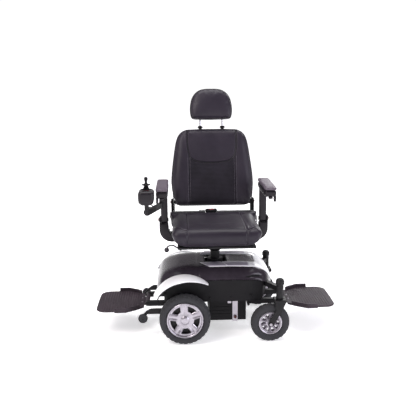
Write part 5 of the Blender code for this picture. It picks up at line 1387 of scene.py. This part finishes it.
@dataclass
class SeatCushion(Upholstery):
    """Waterfall-front cushion with side bolsters."""

    half: float = 0.245
    y_front: float = -0.252
    y_back: float = 0.184
    z_low: float = 0.4975
    z_high: float = 0.607
    seam_x: float = 0.152

    def shape(self, spot: Vector, share: Vector) -> Vector:
        """Pull a round block into the cushion: narrow below, rolled at the front, dished on top.

        Args:
            spot: a point of the block.
            share: its place in the block, -1 to 1.

        Returns:
            The moved point.
        """
        z = (spot.z - self.z_low) / (self.z_high - self.z_low)
        narrow = float(np.interp(z, [0.0, 0.14, 0.35, 0.75, 1.0], [0.74, 0.85, 0.925, 0.985, 0.990]))
        behind = min(1.0, max(0.0, (spot.y - 0.09) / 0.04))
        square = behind * abs(share.x) ** 6 * max(0.0, share.z) ** 2
        spot.x += math.copysign(0.024 * square, share.x)
        spot.z += 0.024 * square
        spot.x *= narrow + (1.0 - narrow) * behind * min(1.0, z / 0.4)
        front = max(0.0, (-spot.y - 0.10) / 0.152)
        roll = front ** 3
        if z > 0.45:
            spot.z -= 0.012 * roll * (z - 0.45) / 0.55
        if z < 0.5 and spot.y < 0:
            spot.y += 0.030 * (0.5 - z) / 0.5 * min(1.0, front * 1.4)
        side = abs(spot.x) / self.half
        if z > 0.6:
            dish = 0.007 * math.exp(-(side / 0.55) ** 4) * min(1.0, max(0.0, (spot.y + 0.20) / 0.10))
            spot.z -= (dish + 0.003) * (1 - behind)
        return spot

    def build(self) -> None:
        """Blow up the cushion and sew it."""
        cushion = rounded_box("seat_cushion_cover", (-self.half + 0.006, self.y_front + 0.006, self.z_low),
                              (self.half - 0.006, self.y_back - 0.004, self.z_high - 0.002), 0.036, 30,
                              self.shape)
        seam = self.seam_x

        def held(points: np.ndarray) -> np.ndarray:
            """The underside, and the two long seams."""
            under = points[:, 2] < self.z_low + 0.012
            sewn = np.abs(np.abs(points[:, 0]) - seam) < 0.005
            return under | (sewn & (points[:, 2] > self.z_low + 0.03))

        self.inflate(cushion, held, 0.008, (-self.half, self.y_front, self.z_low),
                     (self.half, self.y_back, self.z_high))
        ys = np.linspace(self.y_back - 0.03, self.y_front + 0.045, 60)
        zs = np.linspace(self.z_high - 0.03, self.z_low + 0.012, 24)
        lines, threads = [], []
        for side in (-1, 1):
            top = self.lay(cushion, [(side * seam, y, 0.70) for y in ys], (0, 0, -1))
            face = self.lay(cushion, [(side * seam, -0.40, z) for z in zs], (0, 1, 0))
            lines.append(top + face)
            lines.append(self.corner_seam(cushion, side, 0.0))
            for offset in (-0.0055, 0.0055):
                row = self.lay(cushion, [(side * seam + offset, y, 0.70) for y in ys], (0, 0, -1), 0.0006)
                threads.append(row)
            threads.append(self.corner_seam(cushion, side, 0.0060))
        self.groove(cushion, lines, 0.0042, 0.0040)
        self.fit(cushion, "seat", "vinyl", VINYL, "seat_cushion", crease=180)
        rows = self.stitches("seat_top_stitching", [t for t in threads if len(t) > 2])
        self.fit(rows, "seat", "vinyl", THREAD)

    def corner_seam(self, cushion: Object, side: int, offset: float) -> list[Vector]:
        """The curved seam that sweeps over a front corner, from the bolster to the long seam.

        Args:
            cushion: the cushion.
            side: -1 or 1.
            offset: how far inside the seam the line runs.

        Returns:
            Points on the cushion.
        """
        keys = [(self.half - 0.010, 0.02), (self.half - 0.016, -0.10), (self.half - 0.030, -0.165),
                (self.half - 0.060, -0.205), (self.seam_x + 0.004, -0.222)]
        route = [(side * (p[0] - offset), p[1] + offset, 0.70) for p in curve_through(keys, 12)]
        return self.lay(cushion, route, (0, 0, -1), 0.0006 if offset else 0.0)


@dataclass
class Backrest(Upholstery):
    """Back cushion with its bib, ribbed middle and wings, and the headrest, all leaned back."""

    hinge: tuple[float, float] = (0.208, 0.655)
    tilt: float = 15.0
    front: float = 0.046
    rear: float = 0.034
    bottom: float = -0.028
    top: float = 0.425
    half: float = 0.242
    post_x: float = 0.064
    head_bottom: float = 0.470

    def lean(self, made: Object) -> Object:
        """Tilt a piece of the upright back about its hinge.

        Args:
            made: the piece, modelled upright about the hinge.

        Returns:
            The same piece, in place.
        """
        turn = Matrix.Rotation(-math.radians(self.tilt), 4, "X")
        made.data.transform(Matrix.Translation((0, *self.hinge)) @ turn)
        return made

    def outline(self, inset: float) -> list[Point]:
        """The backrest's edge as (x, height) points, moved in by inset.

        Args:
            inset: how far the edge moves in.

        Returns:
            The points.
        """
        keys = [(0.190, self.bottom), (0.222, self.bottom + 0.016), (0.236, 0.035), (self.half, 0.110),
                (0.236, 0.200), (0.222, 0.300), (0.207, 0.365), (0.186, 0.400), (0.150, 0.419),
                (0.070, self.top)]
        right = [tuple(p) for p in curve_through(keys, 7)]
        whole = right + [(-x, z) for x, z in reversed(right)]
        centre = np.array([0.0, 0.19])
        moved = []
        for p in whole:
            away = centre - np.array(p)
            moved.append(tuple(np.array(p) + away / np.linalg.norm(away) * inset))
        return moved

    def pad_from(self, name: str, outline: Sequence[Point], front: float, rear: float,
                 crown: float, bulge: Callable[[float, float], float] | None = None) -> Object:
        """A closed pad from an outline: layers shrink towards its front and rear faces.

        Args:
            name: the object's name.
            outline: its edge as (x, height) points.
            front: Y of the front face.
            rear: Y of the rear face.
            crown: how far the edges are rounded in.
            bulge: extra depth of the front face at (x, height).

        Returns:
            The pad.
        """
        centre = np.mean(np.array(outline), axis=0)
        layers = []
        steps = [(0.0, 0.95), (0.10, 0.50), (0.30, 0.14), (0.5, 0.0), (0.70, 0.12), (0.90, 0.45), (1.0, 0.90)]
        for share, inset in steps:
            ring = []
            for x, z in outline:
                away = centre - np.array((x, z))
                spot = np.array((x, z)) + away / np.linalg.norm(away) * inset * crown
                ring.append((spot[0], front + (rear - front) * share, spot[1]))
            layers.append(ring)
        for end in (0, -1):
            edge = layers[end]
            caps = []
            for scale in (0.80, 0.60, 0.40, 0.20, 0.04):
                row = []
                for x, y, z in edge:
                    px, pz = centre[0] + (x - centre[0]) * scale, centre[1] + (z - centre[1]) * scale
                    push = bulge(px, pz) if bulge and end == 0 else 0.0
                    row.append((px, y - push, pz))
                caps.append(row)
            layers = list(reversed(caps)) + layers if end == 0 else layers + caps
        return loft(name, layers)

    def bib(self) -> list[Point]:
        """The U-shaped seam of the bib, as (x, height) points."""
        keys = [(0.140, 0.424), (0.140, 0.370), (0.139, 0.315), (0.129, 0.262), (0.103, 0.236),
                (0.055, 0.224), (0.0, 0.221)]
        right = [tuple(p) for p in curve_through(keys, 10)]
        return right + [(-x, z) for x, z in reversed(right[:-1])]

    def kerf(self, side: int) -> Object:
        """A cutter for the slot that a hinge ear passes through as the back folds.

        Args:
            side: -1 or 1.

        Returns:
            The cutter.
        """
        rear, ahead, low = -0.0165, -self.front - 0.012, self.bottom - 0.03
        swept = [(rear, 0.021), (ahead, -0.003), (ahead, low), (rear, low)]
        inner, outer = sorted((side * 0.2158, side * 0.2262))
        return prism("kerf", swept, "X", inner, outer)

    def build_cushion(self) -> None:
        """Blow up the back cushion and sew its panels."""
        pad = self.pad_from("back_cushion_cover", self.outline(0.004), -self.front + 0.006,
                            self.rear - 0.002, 0.032,
                            lambda x, z: 0.004 * math.exp(-((abs(x) - 0.185) / 0.035) ** 2))
        bib = self.bib()
        bib_points = np.array(bib)

        def held(points: np.ndarray) -> np.ndarray:
            """The rear face and the points under every seam."""
            gap = np.full(len(points), 1.0)
            for x, z in bib_points:
                gap = np.minimum(gap, np.hypot(points[:, 0] - x, points[:, 2] - z))
            wing = (np.abs(np.abs(points[:, 0]) - 0.132) < 0.0045) & (points[:, 2] < 0.262)
            ahead = points[:, 1] < 0.0
            return (points[:, 1] > self.rear - 0.010) | (ahead & ((gap < 0.0055) | wing))

        self.inflate(pad, held, 0.010, (-self.half, -self.front, self.bottom),
                     (self.half, self.rear, self.top))
        for side in (-1, 1):
            inner, outer = sorted((side * 0.2080, side * 0.270))
            carve(pad, rounded_box("recess", (inner, -0.019, self.bottom - 0.03), (outer, 0.060, 0.104),
                                   0.004, 6))
            carve(pad, self.kerf(side))
        lines = [self.lay(pad, [(x, -0.3, z) for x, z in bib], (0, 1, 0))]
        for side in (-1, 1):
            run = [(side * (0.1325 - 0.010 * max(0.0, 0.10 - z)), -0.3, z)
                   for z in np.linspace(0.262, self.bottom + 0.014, 50)]
            lines.append(self.lay(pad, run, (0, 1, 0)))
        self.groove(pad, lines, 0.0044, 0.0052)
        piping = self.lay(pad, [(x, -0.3, z) for x, z in bib], (0, 1, 0), 0.0004)
        rim = self.hug(pad, [(x, -0.0250, z) for x, z in self.outline(-0.004)], 0.0004)

        def knitted(points: np.ndarray) -> np.ndarray:
            """The middle panel below the bib."""
            edge = np.interp(np.abs(points[:, 0]), bib_points[:61, 0][::-1], bib_points[:61, 1][::-1])
            return ((np.abs(points[:, 0]) < 0.131) & (points[:, 2] < np.minimum(edge, 0.30) - 0.002)
                    & (points[:, 1] < -0.010) & (points[:, 2] > self.bottom + 0.012))

        self.paint_panels(pad, knitted, RIB_KNIT)
        self.fit(self.lean(pad), "back", "vinyl", VINYL, "back_cushion", crease=180)
        self.fit(self.lean(tube("bib_piping", piping, 0.0022, 8)), "back", "vinyl", SHADE_PIPING)
        threads = [[p + Vector((s * 0.006, 0, 0)) for p in lines[k]] for k in (1, 2) for s in (-1, 1)]
        laid = [self.lay_back(pad, line) for line in threads]
        rows = self.stitches("back_top_stitching", [t for t in laid if len(t) > 2])
        rows.data.transform(Matrix.Translation((0, -self.post_y, 0)))
        self.fit(rows, "back", "vinyl", THREAD)
        welt = tube("back_edge_piping", rim, 0.0022, 8, ring=True)
        for side in (-1, 1):
            carve(welt, self.kerf(side))
        self.fit(self.lean(welt), "back", "vinyl", SHADE_PIPING)

    def lay_back(self, pad: Object, line: Sequence[Vector]) -> list[Vector]:
        """Drop points of the upright back on to the leaned and fitted pad.

        Args:
            pad: the back cushion, in place.
            line: points of the upright back.

        Returns:
            The points that landed.
        """
        turn = Matrix.Rotation(-math.radians(self.tilt), 4, "X")
        place = Matrix.Translation((0, self.hinge[0] + self.post_y, self.hinge[1])) @ turn
        way = turn.to_3x3() @ Vector((0, 1, 0))
        return self.lay(pad, [place @ (p + Vector((0, -0.05, 0))) for p in line], way, 0.0006)

    def build_headrest(self) -> None:
        """Headrest pad with its piped edge, and the chrome loop that carries it."""
        low = self.head_bottom
        keys = [(0.0985, low + 0.001), (0.118, low + 0.008), (0.1265, low + 0.040), (0.1255, low + 0.085),
                (0.114, low + 0.130), (0.092, low + 0.160), (0.062, low + 0.178), (0.024, low + 0.1845)]
        right = [tuple(p) for p in curve_through(keys, 7)]
        outline = right + [(-x, z) for x, z in reversed(right)]
        post_y = -0.008
        pad = self.pad_from("headrest_cover", [(x * 0.97, low + 0.092 + (z - low - 0.092) * 0.97)
                                               for x, z in outline],
                            post_y - 0.052, post_y + 0.030, 0.026)

        def held(points: np.ndarray) -> np.ndarray:
            """The sewn edge between the front panel and the border."""
            return np.abs(points[:, 1] - (post_y - 0.030)) < 0.004

        self.inflate(pad, held, 0.008, (-0.129, post_y - 0.0589, low), (0.129, post_y + 0.0361, low + 0.185))
        rim = self.hug(pad, [(x * 1.02, post_y - 0.034, low + 0.092 + (z - low - 0.092) * 1.02)
                             for x, z in outline])
        self.groove(pad, [rim], 0.0040, 0.0025)
        self.fit(self.lean(pad), "headrest", "vinyl", VINYL, "headrest_pad", crease=180)
        self.fit(self.lean(tube("headrest_piping", rim, 0.0024, 10, ring=True)), "headrest", "vinyl",
                 SHADE_PIPING)
        start = self.top - 0.150 + 0.045
        high = low + 0.045
        loop = [(-self.post_x, post_y, z) for z in np.linspace(start, high - 0.012, 6)]
        loop += [(-self.post_x + 0.012 + u, post_y, high - 0.012 + v)
                 for u, v in arc((0, 0), 0.012, 180, 90, 8)[1:]]
        loop += [(-x, y, z) for x, y, z in reversed(loop)]
        self.fit(self.lean(tube("headrest_loop", loop, 0.0050, 20)), "headrest", "zinc", CHROME,
                 "headrest_posts")
        for side in (-1, 1):
            bush = [(0.0056, self.top + 0.0030), (0.0150, self.top + 0.0030), (0.0150, self.top + 0.0065),
                    (0.0135, self.top + 0.0095), (0.0095, self.top + 0.0125), (0.0056, self.top + 0.0128)]
            collar = lathe(f"post_bush_{side + 1}", bush, "Z", (side * self.post_x, post_y, 0), 36)
            self.fit(self.lean(collar), "back", "black_plastic", MATT_PP)

    def build(self) -> None:
        """Make the whole back."""
        self.build_cushion()
        self.build_headrest()
        self.dress(MATT_PP, "back_frame")
        for side in (-1, 1):
            for i, z in enumerate((0.06, 0.34)):
                made = self.screw(f"back_panel_screw_{side + 1}_{i}", (0, 0, 0), (0, 1, 0), 0.0060, "back",
                                  MATT_PP, "black_plastic")
                made.data.transform(Matrix.Translation((side * 0.165, 0.0403 - self.post_y, z)))
                self.lean(made)
                made.data.transform(Matrix.Translation((0, self.post_y, 0)))


# ---------------------------------------------------------------- arms and seat fittings
@dataclass
class Arms(Assembly):
    """Curved brackets, flip-up arms with glossy housings, skinned pads and red pivot caps."""

    inner: float = 0.2575
    outer: float = 0.2955
    pivot_y: float = 0.105
    pivot_z: float = 0.577
    depth: float = 0.040
    pad_x: tuple[float, float] = (0.2505, 0.3125)
    pad_y: tuple[float, float] = (-0.166, 0.135)
    pad_top: float = 0.804
    pad_wall: float = 0.021
    housing_depth: float = 0.041
    bracket_low: float = 0.453
    bracket_out: float = 0.305
    bracket_bend: float = 0.070

    def build_bracket(self, label: str, side: int) -> None:
        """The curved bracket that carries an arm, with its pivot pin and red cap.

        Args:
            label: the end of its names, right or left.
            side: -1 or 1.
        """
        low_z, out_x, bend = self.bracket_low, self.bracket_out, self.bracket_bend
        elbow = [(0.120, low_z)] + arc((out_x - bend, low_z + bend), bend, -90, 0, 24)
        elbow += [(out_x, self.pivot_z + 0.010)] + arc((out_x - 0.004, self.pivot_z + 0.014), 0.004, 0, 90, 5)
        floor = self.pivot_z - self.depth / 2 - 0.0007
        elbow += [(self.outer + 0.001, self.pivot_z + 0.018), (self.outer + 0.001, floor),
                  (self.inner - 0.002, floor), (self.inner - 0.004, self.pivot_z - 0.058),
                  (0.235, 0.4847), (0.120, 0.4847)]
        bracket = prism("bracket", [(side * x, z) for x, z in elbow], "Y",
                        self.pivot_y - self.depth / 2 - 0.005, self.pivot_y + self.depth / 2 + 0.005, 0.0035)
        pin = lathe("pin", [(0.0001, side * (self.inner - 0.004)), (0.012, side * (self.inner - 0.004)),
                            (0.012, side * (self.inner - 0.001)), (0.008, side * (self.inner - 0.001)),
                            (0.008, side * (out_x - 0.002)), (0.0120, side * (out_x - 0.002)),
                            (0.0120, side * (out_x + 0.004)), (0.0001, side * (out_x + 0.004))],
                    "X", (0, self.pivot_y, self.pivot_z), 32, False)
        self.fit(joined("curved_bracket_" + label, [bracket, pin]), "seat", "gloss_black", SATIN_ABS,
                 "arm_bracket_" + label)
        cap = [(0.0001, 0.0072), (0.0060, 0.0068), (0.0095, 0.0052), (0.0105, 0.0040), (0.0001, 0.0040)]
        self.fit(lathe("pivot_cap_" + label, [(r, side * (out_x + h)) for r, h in cap], "X",
                       (0, self.pivot_y, self.pivot_z), 32, False), "seat", "red_plastic", RED_PS)

    def build_shell(self, label: str, side: int) -> None:
        """An arm's upright, with the housing under its pad, the hook and the toe.

        Args:
            label: the end of its names, right or left.
            side: -1 or 1.
        """
        bottom = self.pad_top - self.pad_wall
        low = bottom - self.housing_depth
        half = self.depth / 2
        post = arc((self.pivot_y, self.pivot_z), half, 180, 360, 24)
        post = [(self.pivot_y - half, low + 0.010)] + post + [(self.pivot_y + half, low + 0.010)]
        inner, outer = sorted((side * self.inner, side * self.outer))
        upright = prism("upright", post, "X", inner, outer, 0.004)
        x0, x1 = sorted((side * self.pad_x[0], side * self.pad_x[1]))

        def belly(spot: Vector, share: Vector) -> Vector:
            """Raise the housing's floor towards both ends and pull in its lower edges.

            Args:
                spot: a point.
                share: its place, -1 to 1.

            Returns:
                The moved point.
            """
            if share.z < 0:
                ends = abs(share.y) ** 4
                spot.z += 0.010 * ends * -share.z
                middle = (x0 + x1) / 2
                spot.x = middle + (spot.x - middle) * (1 - 0.10 * -share.z)
            return spot

        housing = rounded_box("housing", (x0, self.pad_y[0] + 0.002, low),
                              (x1, self.pad_y[1] + 0.005, bottom), 0.011, 14, belly)
        hook_x = sorted((side * (self.pad_x[1] - 0.013), side * (self.pad_x[1] - 0.001)))
        hook = rounded_box("hook", (hook_x[0], self.pad_y[0] + 0.010, low - 0.020),
                           (hook_x[1], self.pad_y[0] + 0.034, low + 0.014), 0.004, 6)
        toe = rounded_box("toe", (x0 + 0.020, self.pad_y[0] + 0.006, low - 0.004),
                          (x1 - 0.020, self.pad_y[0] + 0.020, low + 0.010), 0.004, 6)
        self.fit(joined("arm_shell_" + label, [upright, housing, hook, toe]), "arm_" + label,
                 "gloss_black", SATIN_ABS, "arm_frame_" + label)

    def build_pad(self, label: str, side: int) -> None:
        """An arm's skinned pad, its screws, and on the right the boss of the joystick's bar.

        Args:
            label: the end of its names, right or left.
            side: -1 or 1.
        """
        body = "arm_" + label
        bottom = self.pad_top - self.pad_wall
        low = bottom - self.housing_depth
        x0, x1 = sorted((side * self.pad_x[0], side * self.pad_x[1]))

        def crowned(spot: Vector, share: Vector) -> Vector:
            """Crown the pad along its length and slope its front down."""
            if share.z > 0:
                spot.z -= share.z * (0.0012 * share.x ** 2 + 0.0035 * max(0.0, -share.y - 0.75) / 0.25)
            return spot

        pad = rounded_box("arm_pad_skin_" + label, (x0, self.pad_y[0], bottom + 0.0004),
                          (x1, self.pad_y[1], self.pad_top), 0.0085, 18, crowned)
        self.fit(pad, body, "pad_foam", PAD_SKIN, "arm_pad_" + label, crease=180)
        for i, y in enumerate((-0.09, 0.06)):
            self.screw(f"arm_screw_{label}_{i}", (side * 0.2815, y, low + 0.0004), (0, 0, -1), 0.0050, body)
        if side < 0:
            stub = [(0.005, 0.676), (0.005, low + 0.012), (0.0001, low + 0.012), (0.0001, 0.676)]
            boss = lathe("swing_boss", stub, "Z", (-0.287, -0.010, 0), 24, False)
            self.fit(boss, body, "zinc", ZINC)

    def build(self) -> None:
        """Both arms."""
        for label, side in (("right", -1), ("left", 1)):
            self.build_bracket(label, side)
            self.build_shell(label, side)
            self.build_pad(label, side)


@dataclass
class SeatFittings(Assembly):
    """Pan, swivel lever and lap belt."""

    lever: tuple[float, float, float] = (-0.190, -0.110, 0.469)
    belt_y: float = 0.151
    top: float = 0.6073
    hinge_y: float = 0.208
    hinge_z: float = 0.655

    def build(self) -> None:
        """Dress the pan and the belt, and make the lever and the buckle."""
        self.dress(POWDER, "seat_pan")
        self.dress(WEBBING, "belt_tongue_side", "belt_buckle_side")
        self.dress(RED_PS, "buckle_button")
        x, y, z = self.lever
        route = curve_through([(x - 0.004, y, z), (x - 0.020, y, z + 0.006), (-0.232, y, 0.487),
                               (-0.254, y, 0.482), (-0.262, y, 0.470)], 8)
        rod = tube("rod", route, 0.0040, 12)
        hub = lathe("hub", [(0.0033, -0.006), (0.0075, -0.006), (0.0075, 0.006), (0.0033, 0.006)], "Y",
                    self.lever, 28)
        ball = lathe("ball", [(max(0.0001, r), h) for r, h in arc((0, 0), 0.0135, -90, 90, 20)], "Z",
                     (-0.263, y, 0.462), 32, False)
        self.fit(joined("swivel_handle", [rod, hub, ball]), "swivel_lever", "black_plastic", GLOSS_ABS,
                 "swivel_lever")

        for side, end in ((-1, "right"), (1, "left")):
            outline = [(self.hinge_y + 0.021 * math.cos(a), self.hinge_z + 0.021 * math.sin(a))
                       for a in np.linspace(-0.25, math.pi + 0.25, 22)]
            foot = self.hinge_z - 0.062
            outline += [(self.hinge_y - 0.020, foot), (self.hinge_y + 0.014, foot)]
            inner, outer = sorted((side * 0.2245, side * 0.2390))
            cover = prism("hinge_cover_" + end, outline, "X", inner, outer, 0.0035)
            self.fit(cover, "seat", "black_plastic", MATT_PP)
            self.screw("hinge_screw_" + end, (side * 0.2388, self.hinge_y, self.hinge_z),
                       (side, 0, 0), 0.0075, "seat", BROWNED, "zinc")

        shell = rounded_box("buckle_shell", (-0.0445, self.belt_y - 0.022, self.top),
                            (0.0217, self.belt_y + 0.022, self.top + 0.0145), 0.0045, 12)
        well = rounded_box("well", (-0.0222, self.belt_y - 0.0123, self.top + 0.0070),
                           (0.0042, self.belt_y + 0.0123, self.top + 0.03), 0.0010, 4)
        mouth = rounded_box("mouth", (-0.060, self.belt_y - 0.010, self.top + 0.0035),
                            (-0.032, self.belt_y + 0.010, self.top + 0.0063), 0.0008, 4)
        carve(shell, well)
        carve(shell, mouth)
        self.fit(shell, "seat", "black_plastic", MATT_PP, "belt_buckle")
        laid = self.top + 0.0029
        threads = []
        for x0 in (-0.110, 0.036):
            for dx in (0.0, 0.022):
                threads.append([(x0 + dx, self.belt_y - 0.015 + k * 0.006, laid) for k in range(6)])
            for dy in (-0.015, 0.015):
                threads.append([(x0 + k * 0.0055, self.belt_y + dy, laid) for k in range(5)])
        parts = [tube("thread", line, 0.0006, 6) for line in threads]
        self.fit(joined("belt_box_stitch", parts), "seat", "webbing", THREAD)


@dataclass
class Joystick(Assembly):
    """Swing-away bar, housing, gaiter with its stick, keys and lead."""

    x: float = -0.357
    y: float = -0.218
    low: float = 0.735
    high: float = 0.808
    half_x: float = 0.0395
    half_y: float = 0.053
    pivot_z: float = 0.7965
    stick_top: float = 0.872
    stick_dy: float = 0.014
    well: float = 0.0216
    bezel: float = 0.0234

    def build(self) -> None:
        """Make the joystick from its bar up."""
        self.dress(POWDER, "joystick_arm")
        self.dress(MATT_PP, "power_button", "horn_button")
        self.dress(ZINC, "joystick_gimbal")
        self.build_case()
        self.build_stick()
        self.build_knobs()
        self.build_lead()

    def build_case(self) -> None:
        """The housing with its well and key holes, the well's bezel and the charge lamps."""
        def pebble(spot: Vector, share: Vector) -> Vector:
            """Taper the housing below and crown its top.

            Args:
                spot: a point.
                share: its place, -1 to 1.

            Returns:
                The moved point.
            """
            if share.z < 0:
                pull = 1 - 0.16 * share.z ** 2
                spot.x = self.x + (spot.x - self.x) * pull
                spot.y = self.y + (spot.y - self.y) * pull
            return spot

        case = rounded_box("joystick_case", (self.x - self.half_x, self.y - self.half_y, self.low),
                           (self.x + self.half_x, self.y + self.half_y, self.high), 0.0180, 24, pebble)
        stick_y = self.y + self.stick_dy
        floor, above = self.pivot_z - 0.014, self.high + 0.01
        well = [(0.0001, floor), (self.well, floor), (self.well, above), (0.0001, above)]
        carve(case, lathe("hole", well, "Z", (self.x, stick_y, 0), 40, False))
        for dx in (-0.013, 0.013):
            carve(case, lathe("key_hole", [(0.0001, self.high - 0.006), (0.0066, self.high - 0.006),
                                           (0.0066, self.high + 0.01), (0.0001, self.high + 0.01)], "Z",
                              (self.x + dx, self.y - 0.028, 0), 28, False))
        self.fit(case, "joystick", "gloss_black", SATIN_ABS, "joystick_box")
        bezel = [(self.x + self.bezel * math.cos(a), stick_y + self.bezel * math.sin(a), self.high - 0.0002)
                 for a in np.linspace(0, 2 * math.pi, 40, endpoint=False)]
        self.fit(tube("joystick_bezel", bezel, 0.0016, 10, ring=True), "joystick", "black_plastic", MATT_PP)
        lamps = [rounded_box("lamp", (self.x - 0.014 + i * 0.0062, self.y - 0.0135, self.high - 0.0006),
                             (self.x - 0.0098 + i * 0.0062, self.y - 0.0115, self.high + 0.0004), 0.0005, 4)
                 for i in range(5)]
        self.fit(joined("charge_lamps", lamps), "joystick", "red_plastic", RED_PS)

    def build_stick(self) -> None:
        """The stick in its pleated gaiter, with a waisted knob."""
        profile = [(0.0001, -0.006), (0.0100, -0.006), (0.0112, 0.0045)]
        for k in range(4):
            base = 0.0100 + k * 0.0060
            wide = 0.0165 - k * 0.0013
            profile += [(wide - 0.0035, base), (wide, base + 0.0018), (wide, base + 0.0030),
                        (wide - 0.0035, base + 0.0050)]
        profile += [(0.0125, 0.0335), (0.0210, 0.0345), (0.0222, 0.0360), (0.0212, 0.0376), (0.0110, 0.0390),
                    (0.0078, 0.0420), (0.0062, 0.0470), (0.0064, 0.0540), (0.0082, 0.0600), (0.0092, 0.0660),
                    (0.0086, 0.0715), (0.0050, 0.0748), (0.0001, self.stick_top - self.pivot_z)]
        foot = (self.x, self.y + self.stick_dy, self.pivot_z)
        stick = lathe("stick_gaiter", profile, "Z", foot, 40, False)
        self.fit(stick, "stick", "black_plastic", MATT_PP, "joystick_stick", crease=60)

    def build_knobs(self) -> None:
        """The two lobed knobs that clamp the bar."""
        knobs = []
        for share, height in ((0.62, 0.007), (0.80, -0.007)):
            x = -0.287 + (self.x + 0.287) * share
            y = -0.010 + (self.y + 0.012 + 0.010) * share
            centre = (x - 0.0245, y + 0.0061, 0.687 + height)
            lobes = []
            for a in np.linspace(0, 2 * math.pi, 48, endpoint=False):
                reach = 0.0088 + 0.0014 * math.cos(5 * a)
                lobes.append((centre[1] + reach * math.cos(a), centre[2] + reach * math.sin(a)))
            knobs.append(prism("knob", lobes, "X", centre[0] - 0.008, centre[0] + 0.002, 0.0015))
        self.fit(joined("clamp_knobs", knobs), "joystick", "black_plastic", MATT_PP)

    def build_lead(self) -> None:
        """The short lead from the housing down to the bar."""
        keys = [(self.x + 0.022, self.y + 0.030, self.low - 0.0005), (self.x + 0.022, self.y + 0.030, 0.7295),
                (self.x + 0.024, self.y + 0.036, 0.722), (self.x + 0.032, self.y + 0.060, 0.711),
                (self.x + 0.044, self.y + 0.090, 0.7075), (-0.3065, -0.085, 0.7045)]
        line = curve_through(keys, 10)
        lead = tube("joystick_lead", line, 0.0024, 12)
        self.fit(lead, "joystick", "tyre_rubber", RUBBER, "joystick_cable")


# ---------------------------------------------------------------- studio
@dataclass
class Studio:
    """Pale floor, soft light and the camera."""

    eye: tuple[float, float, float] = (-0.187, -3.236, 1.363)
    yaw: float = 0.0472
    pitch: float = 0.2163
    roll: float = -0.0075
    lens: float = 51.98

    def camera(self) -> None:
        """Stand the camera before the chair, a little above its arms."""
        right = Vector((math.cos(self.yaw), -math.sin(self.yaw), 0))
        ahead = Vector((math.sin(self.yaw), math.cos(self.yaw), 0))
        up = Vector((0, 0, 1))
        look = ahead * math.cos(self.pitch) - up * math.sin(self.pitch)
        crown = up * math.cos(self.pitch) + ahead * math.sin(self.pitch)
        side = right * math.cos(self.roll) + crown * math.sin(self.roll)
        crown = crown * math.cos(self.roll) - right * math.sin(self.roll)
        data = bpy.data.cameras.new("camera")
        data.lens = self.lens
        data.sensor_width = 36.0
        made = bpy.data.objects.new("camera", data)
        bpy.context.scene.collection.objects.link(made)
        turn = Matrix((side, crown, -look)).transposed().to_4x4()
        made.matrix_world = Matrix.Translation(self.eye) @ turn
        bpy.context.scene.camera = made

    def softbox(self, name: str, place: Point, aim: Point, size: tuple[float, float], power: float,
                tint: str) -> None:
        """One rectangular soft light.

        Args:
            name: the light's name.
            place: where it stands.
            aim: where it looks.
            size: its width and height.
            power: its power in watts.
            tint: its colour.
        """
        data = bpy.data.lights.new(name, "AREA")
        data.shape = "RECTANGLE"
        data.size, data.size_y = size
        data.energy = power
        data.color = linear(tint)[:3]
        made = bpy.data.objects.new(name, data)
        bpy.context.scene.collection.objects.link(made)
        made.location = place
        made.rotation_euler = (Vector(aim) - Vector(place)).to_track_quat("-Z", "Y").to_euler()

    def build(self) -> None:
        """Floor, lights, world and camera."""
        floor = loft("studio_floor", [[(-30, -30, 0), (30, -30, 0)], [(-30, 30, 0), (30, 30, 0)]],
                     round_ring=False)
        paint = FLOOR.material()
        floor.data.materials.append(paint)
        place = add_node(paint.node_tree, "ShaderNodeTexCoord").outputs["Object"]
        reach = add_node(paint.node_tree, "ShaderNodeVectorMath", {0: place},
                         operation="LENGTH").outputs["Value"]
        glow = add_node(paint.node_tree, "ShaderNodeMapRange", {0: reach, 1: 0.7, 2: 4.0, 3: FLOOR.glow,
                                                                4: 1.1})
        shader = paint.node_tree.nodes["Principled BSDF"]
        paint.node_tree.links.new(glow.outputs[0], shader.inputs["Emission Strength"])
        self.softbox("key_box", (-2.2, -1.9, 3.4), (0, 0, 0.6), (1.8, 1.8), 95, "#fffaf6")
        self.softbox("fill_box", (3.0, -2.2, 1.6), (0, 0, 0.5), (1.6, 2.2), 55, "#f4f4ff")
        self.softbox("top_box", (0.0, 0.3, 3.4), (0, 0, 0.3), (2.6, 1.6), 70, "#ffffff")
        self.softbox("rim_box", (1.6, 2.8, 2.2), (0, 0, 0.8), (1.8, 1.4), 50, "#ffffff")
        self.cove()
        bpy.context.scene.view_settings.view_transform = "Standard"
        self.camera()

    def cove(self) -> None:
        """A white cove that fades to a darker ceiling, so that gloss has something to reflect."""
        world = bpy.data.worlds.new("studio_world")
        world.use_nodes = True
        tree = world.node_tree
        way = add_node(tree, "ShaderNodeTexCoord").outputs["Generated"]
        height = add_node(tree, "ShaderNodeSeparateXYZ", {0: way}).outputs["Z"]
        rise = add_node(tree, "ShaderNodeMapRange", {0: height, 1: 0.12, 2: 0.30},
                        interpolation_type="SMOOTHSTEP").outputs[0]
        tint = add_node(tree, "ShaderNodeMix", {0: rise, 6: linear("#ffffff"), 7: linear("#6f6970")},
                        data_type="RGBA").outputs[2]
        tree.links.new(tint, tree.nodes["Background"].inputs["Color"])
        tree.nodes["Background"].inputs["Strength"].default_value = 1.05
        bpy.context.scene.world = world


def main() -> None:
    """Build the chair from the floor up, then the studio round it."""
    logging.basicConfig(level=logging.INFO, format="%(message)s")
    low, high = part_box("seat_post")
    post_y = (low.y + high.y) / 2
    Studio().build()
    for kind in (Chassis, Covers, Wheels, SeatFittings, SeatCushion, Backrest, Arms, Joystick):
        LOG.info("building %s", kind.__name__)
        kind(post_y=post_y).build()


if __name__ == "__main__":
    main()
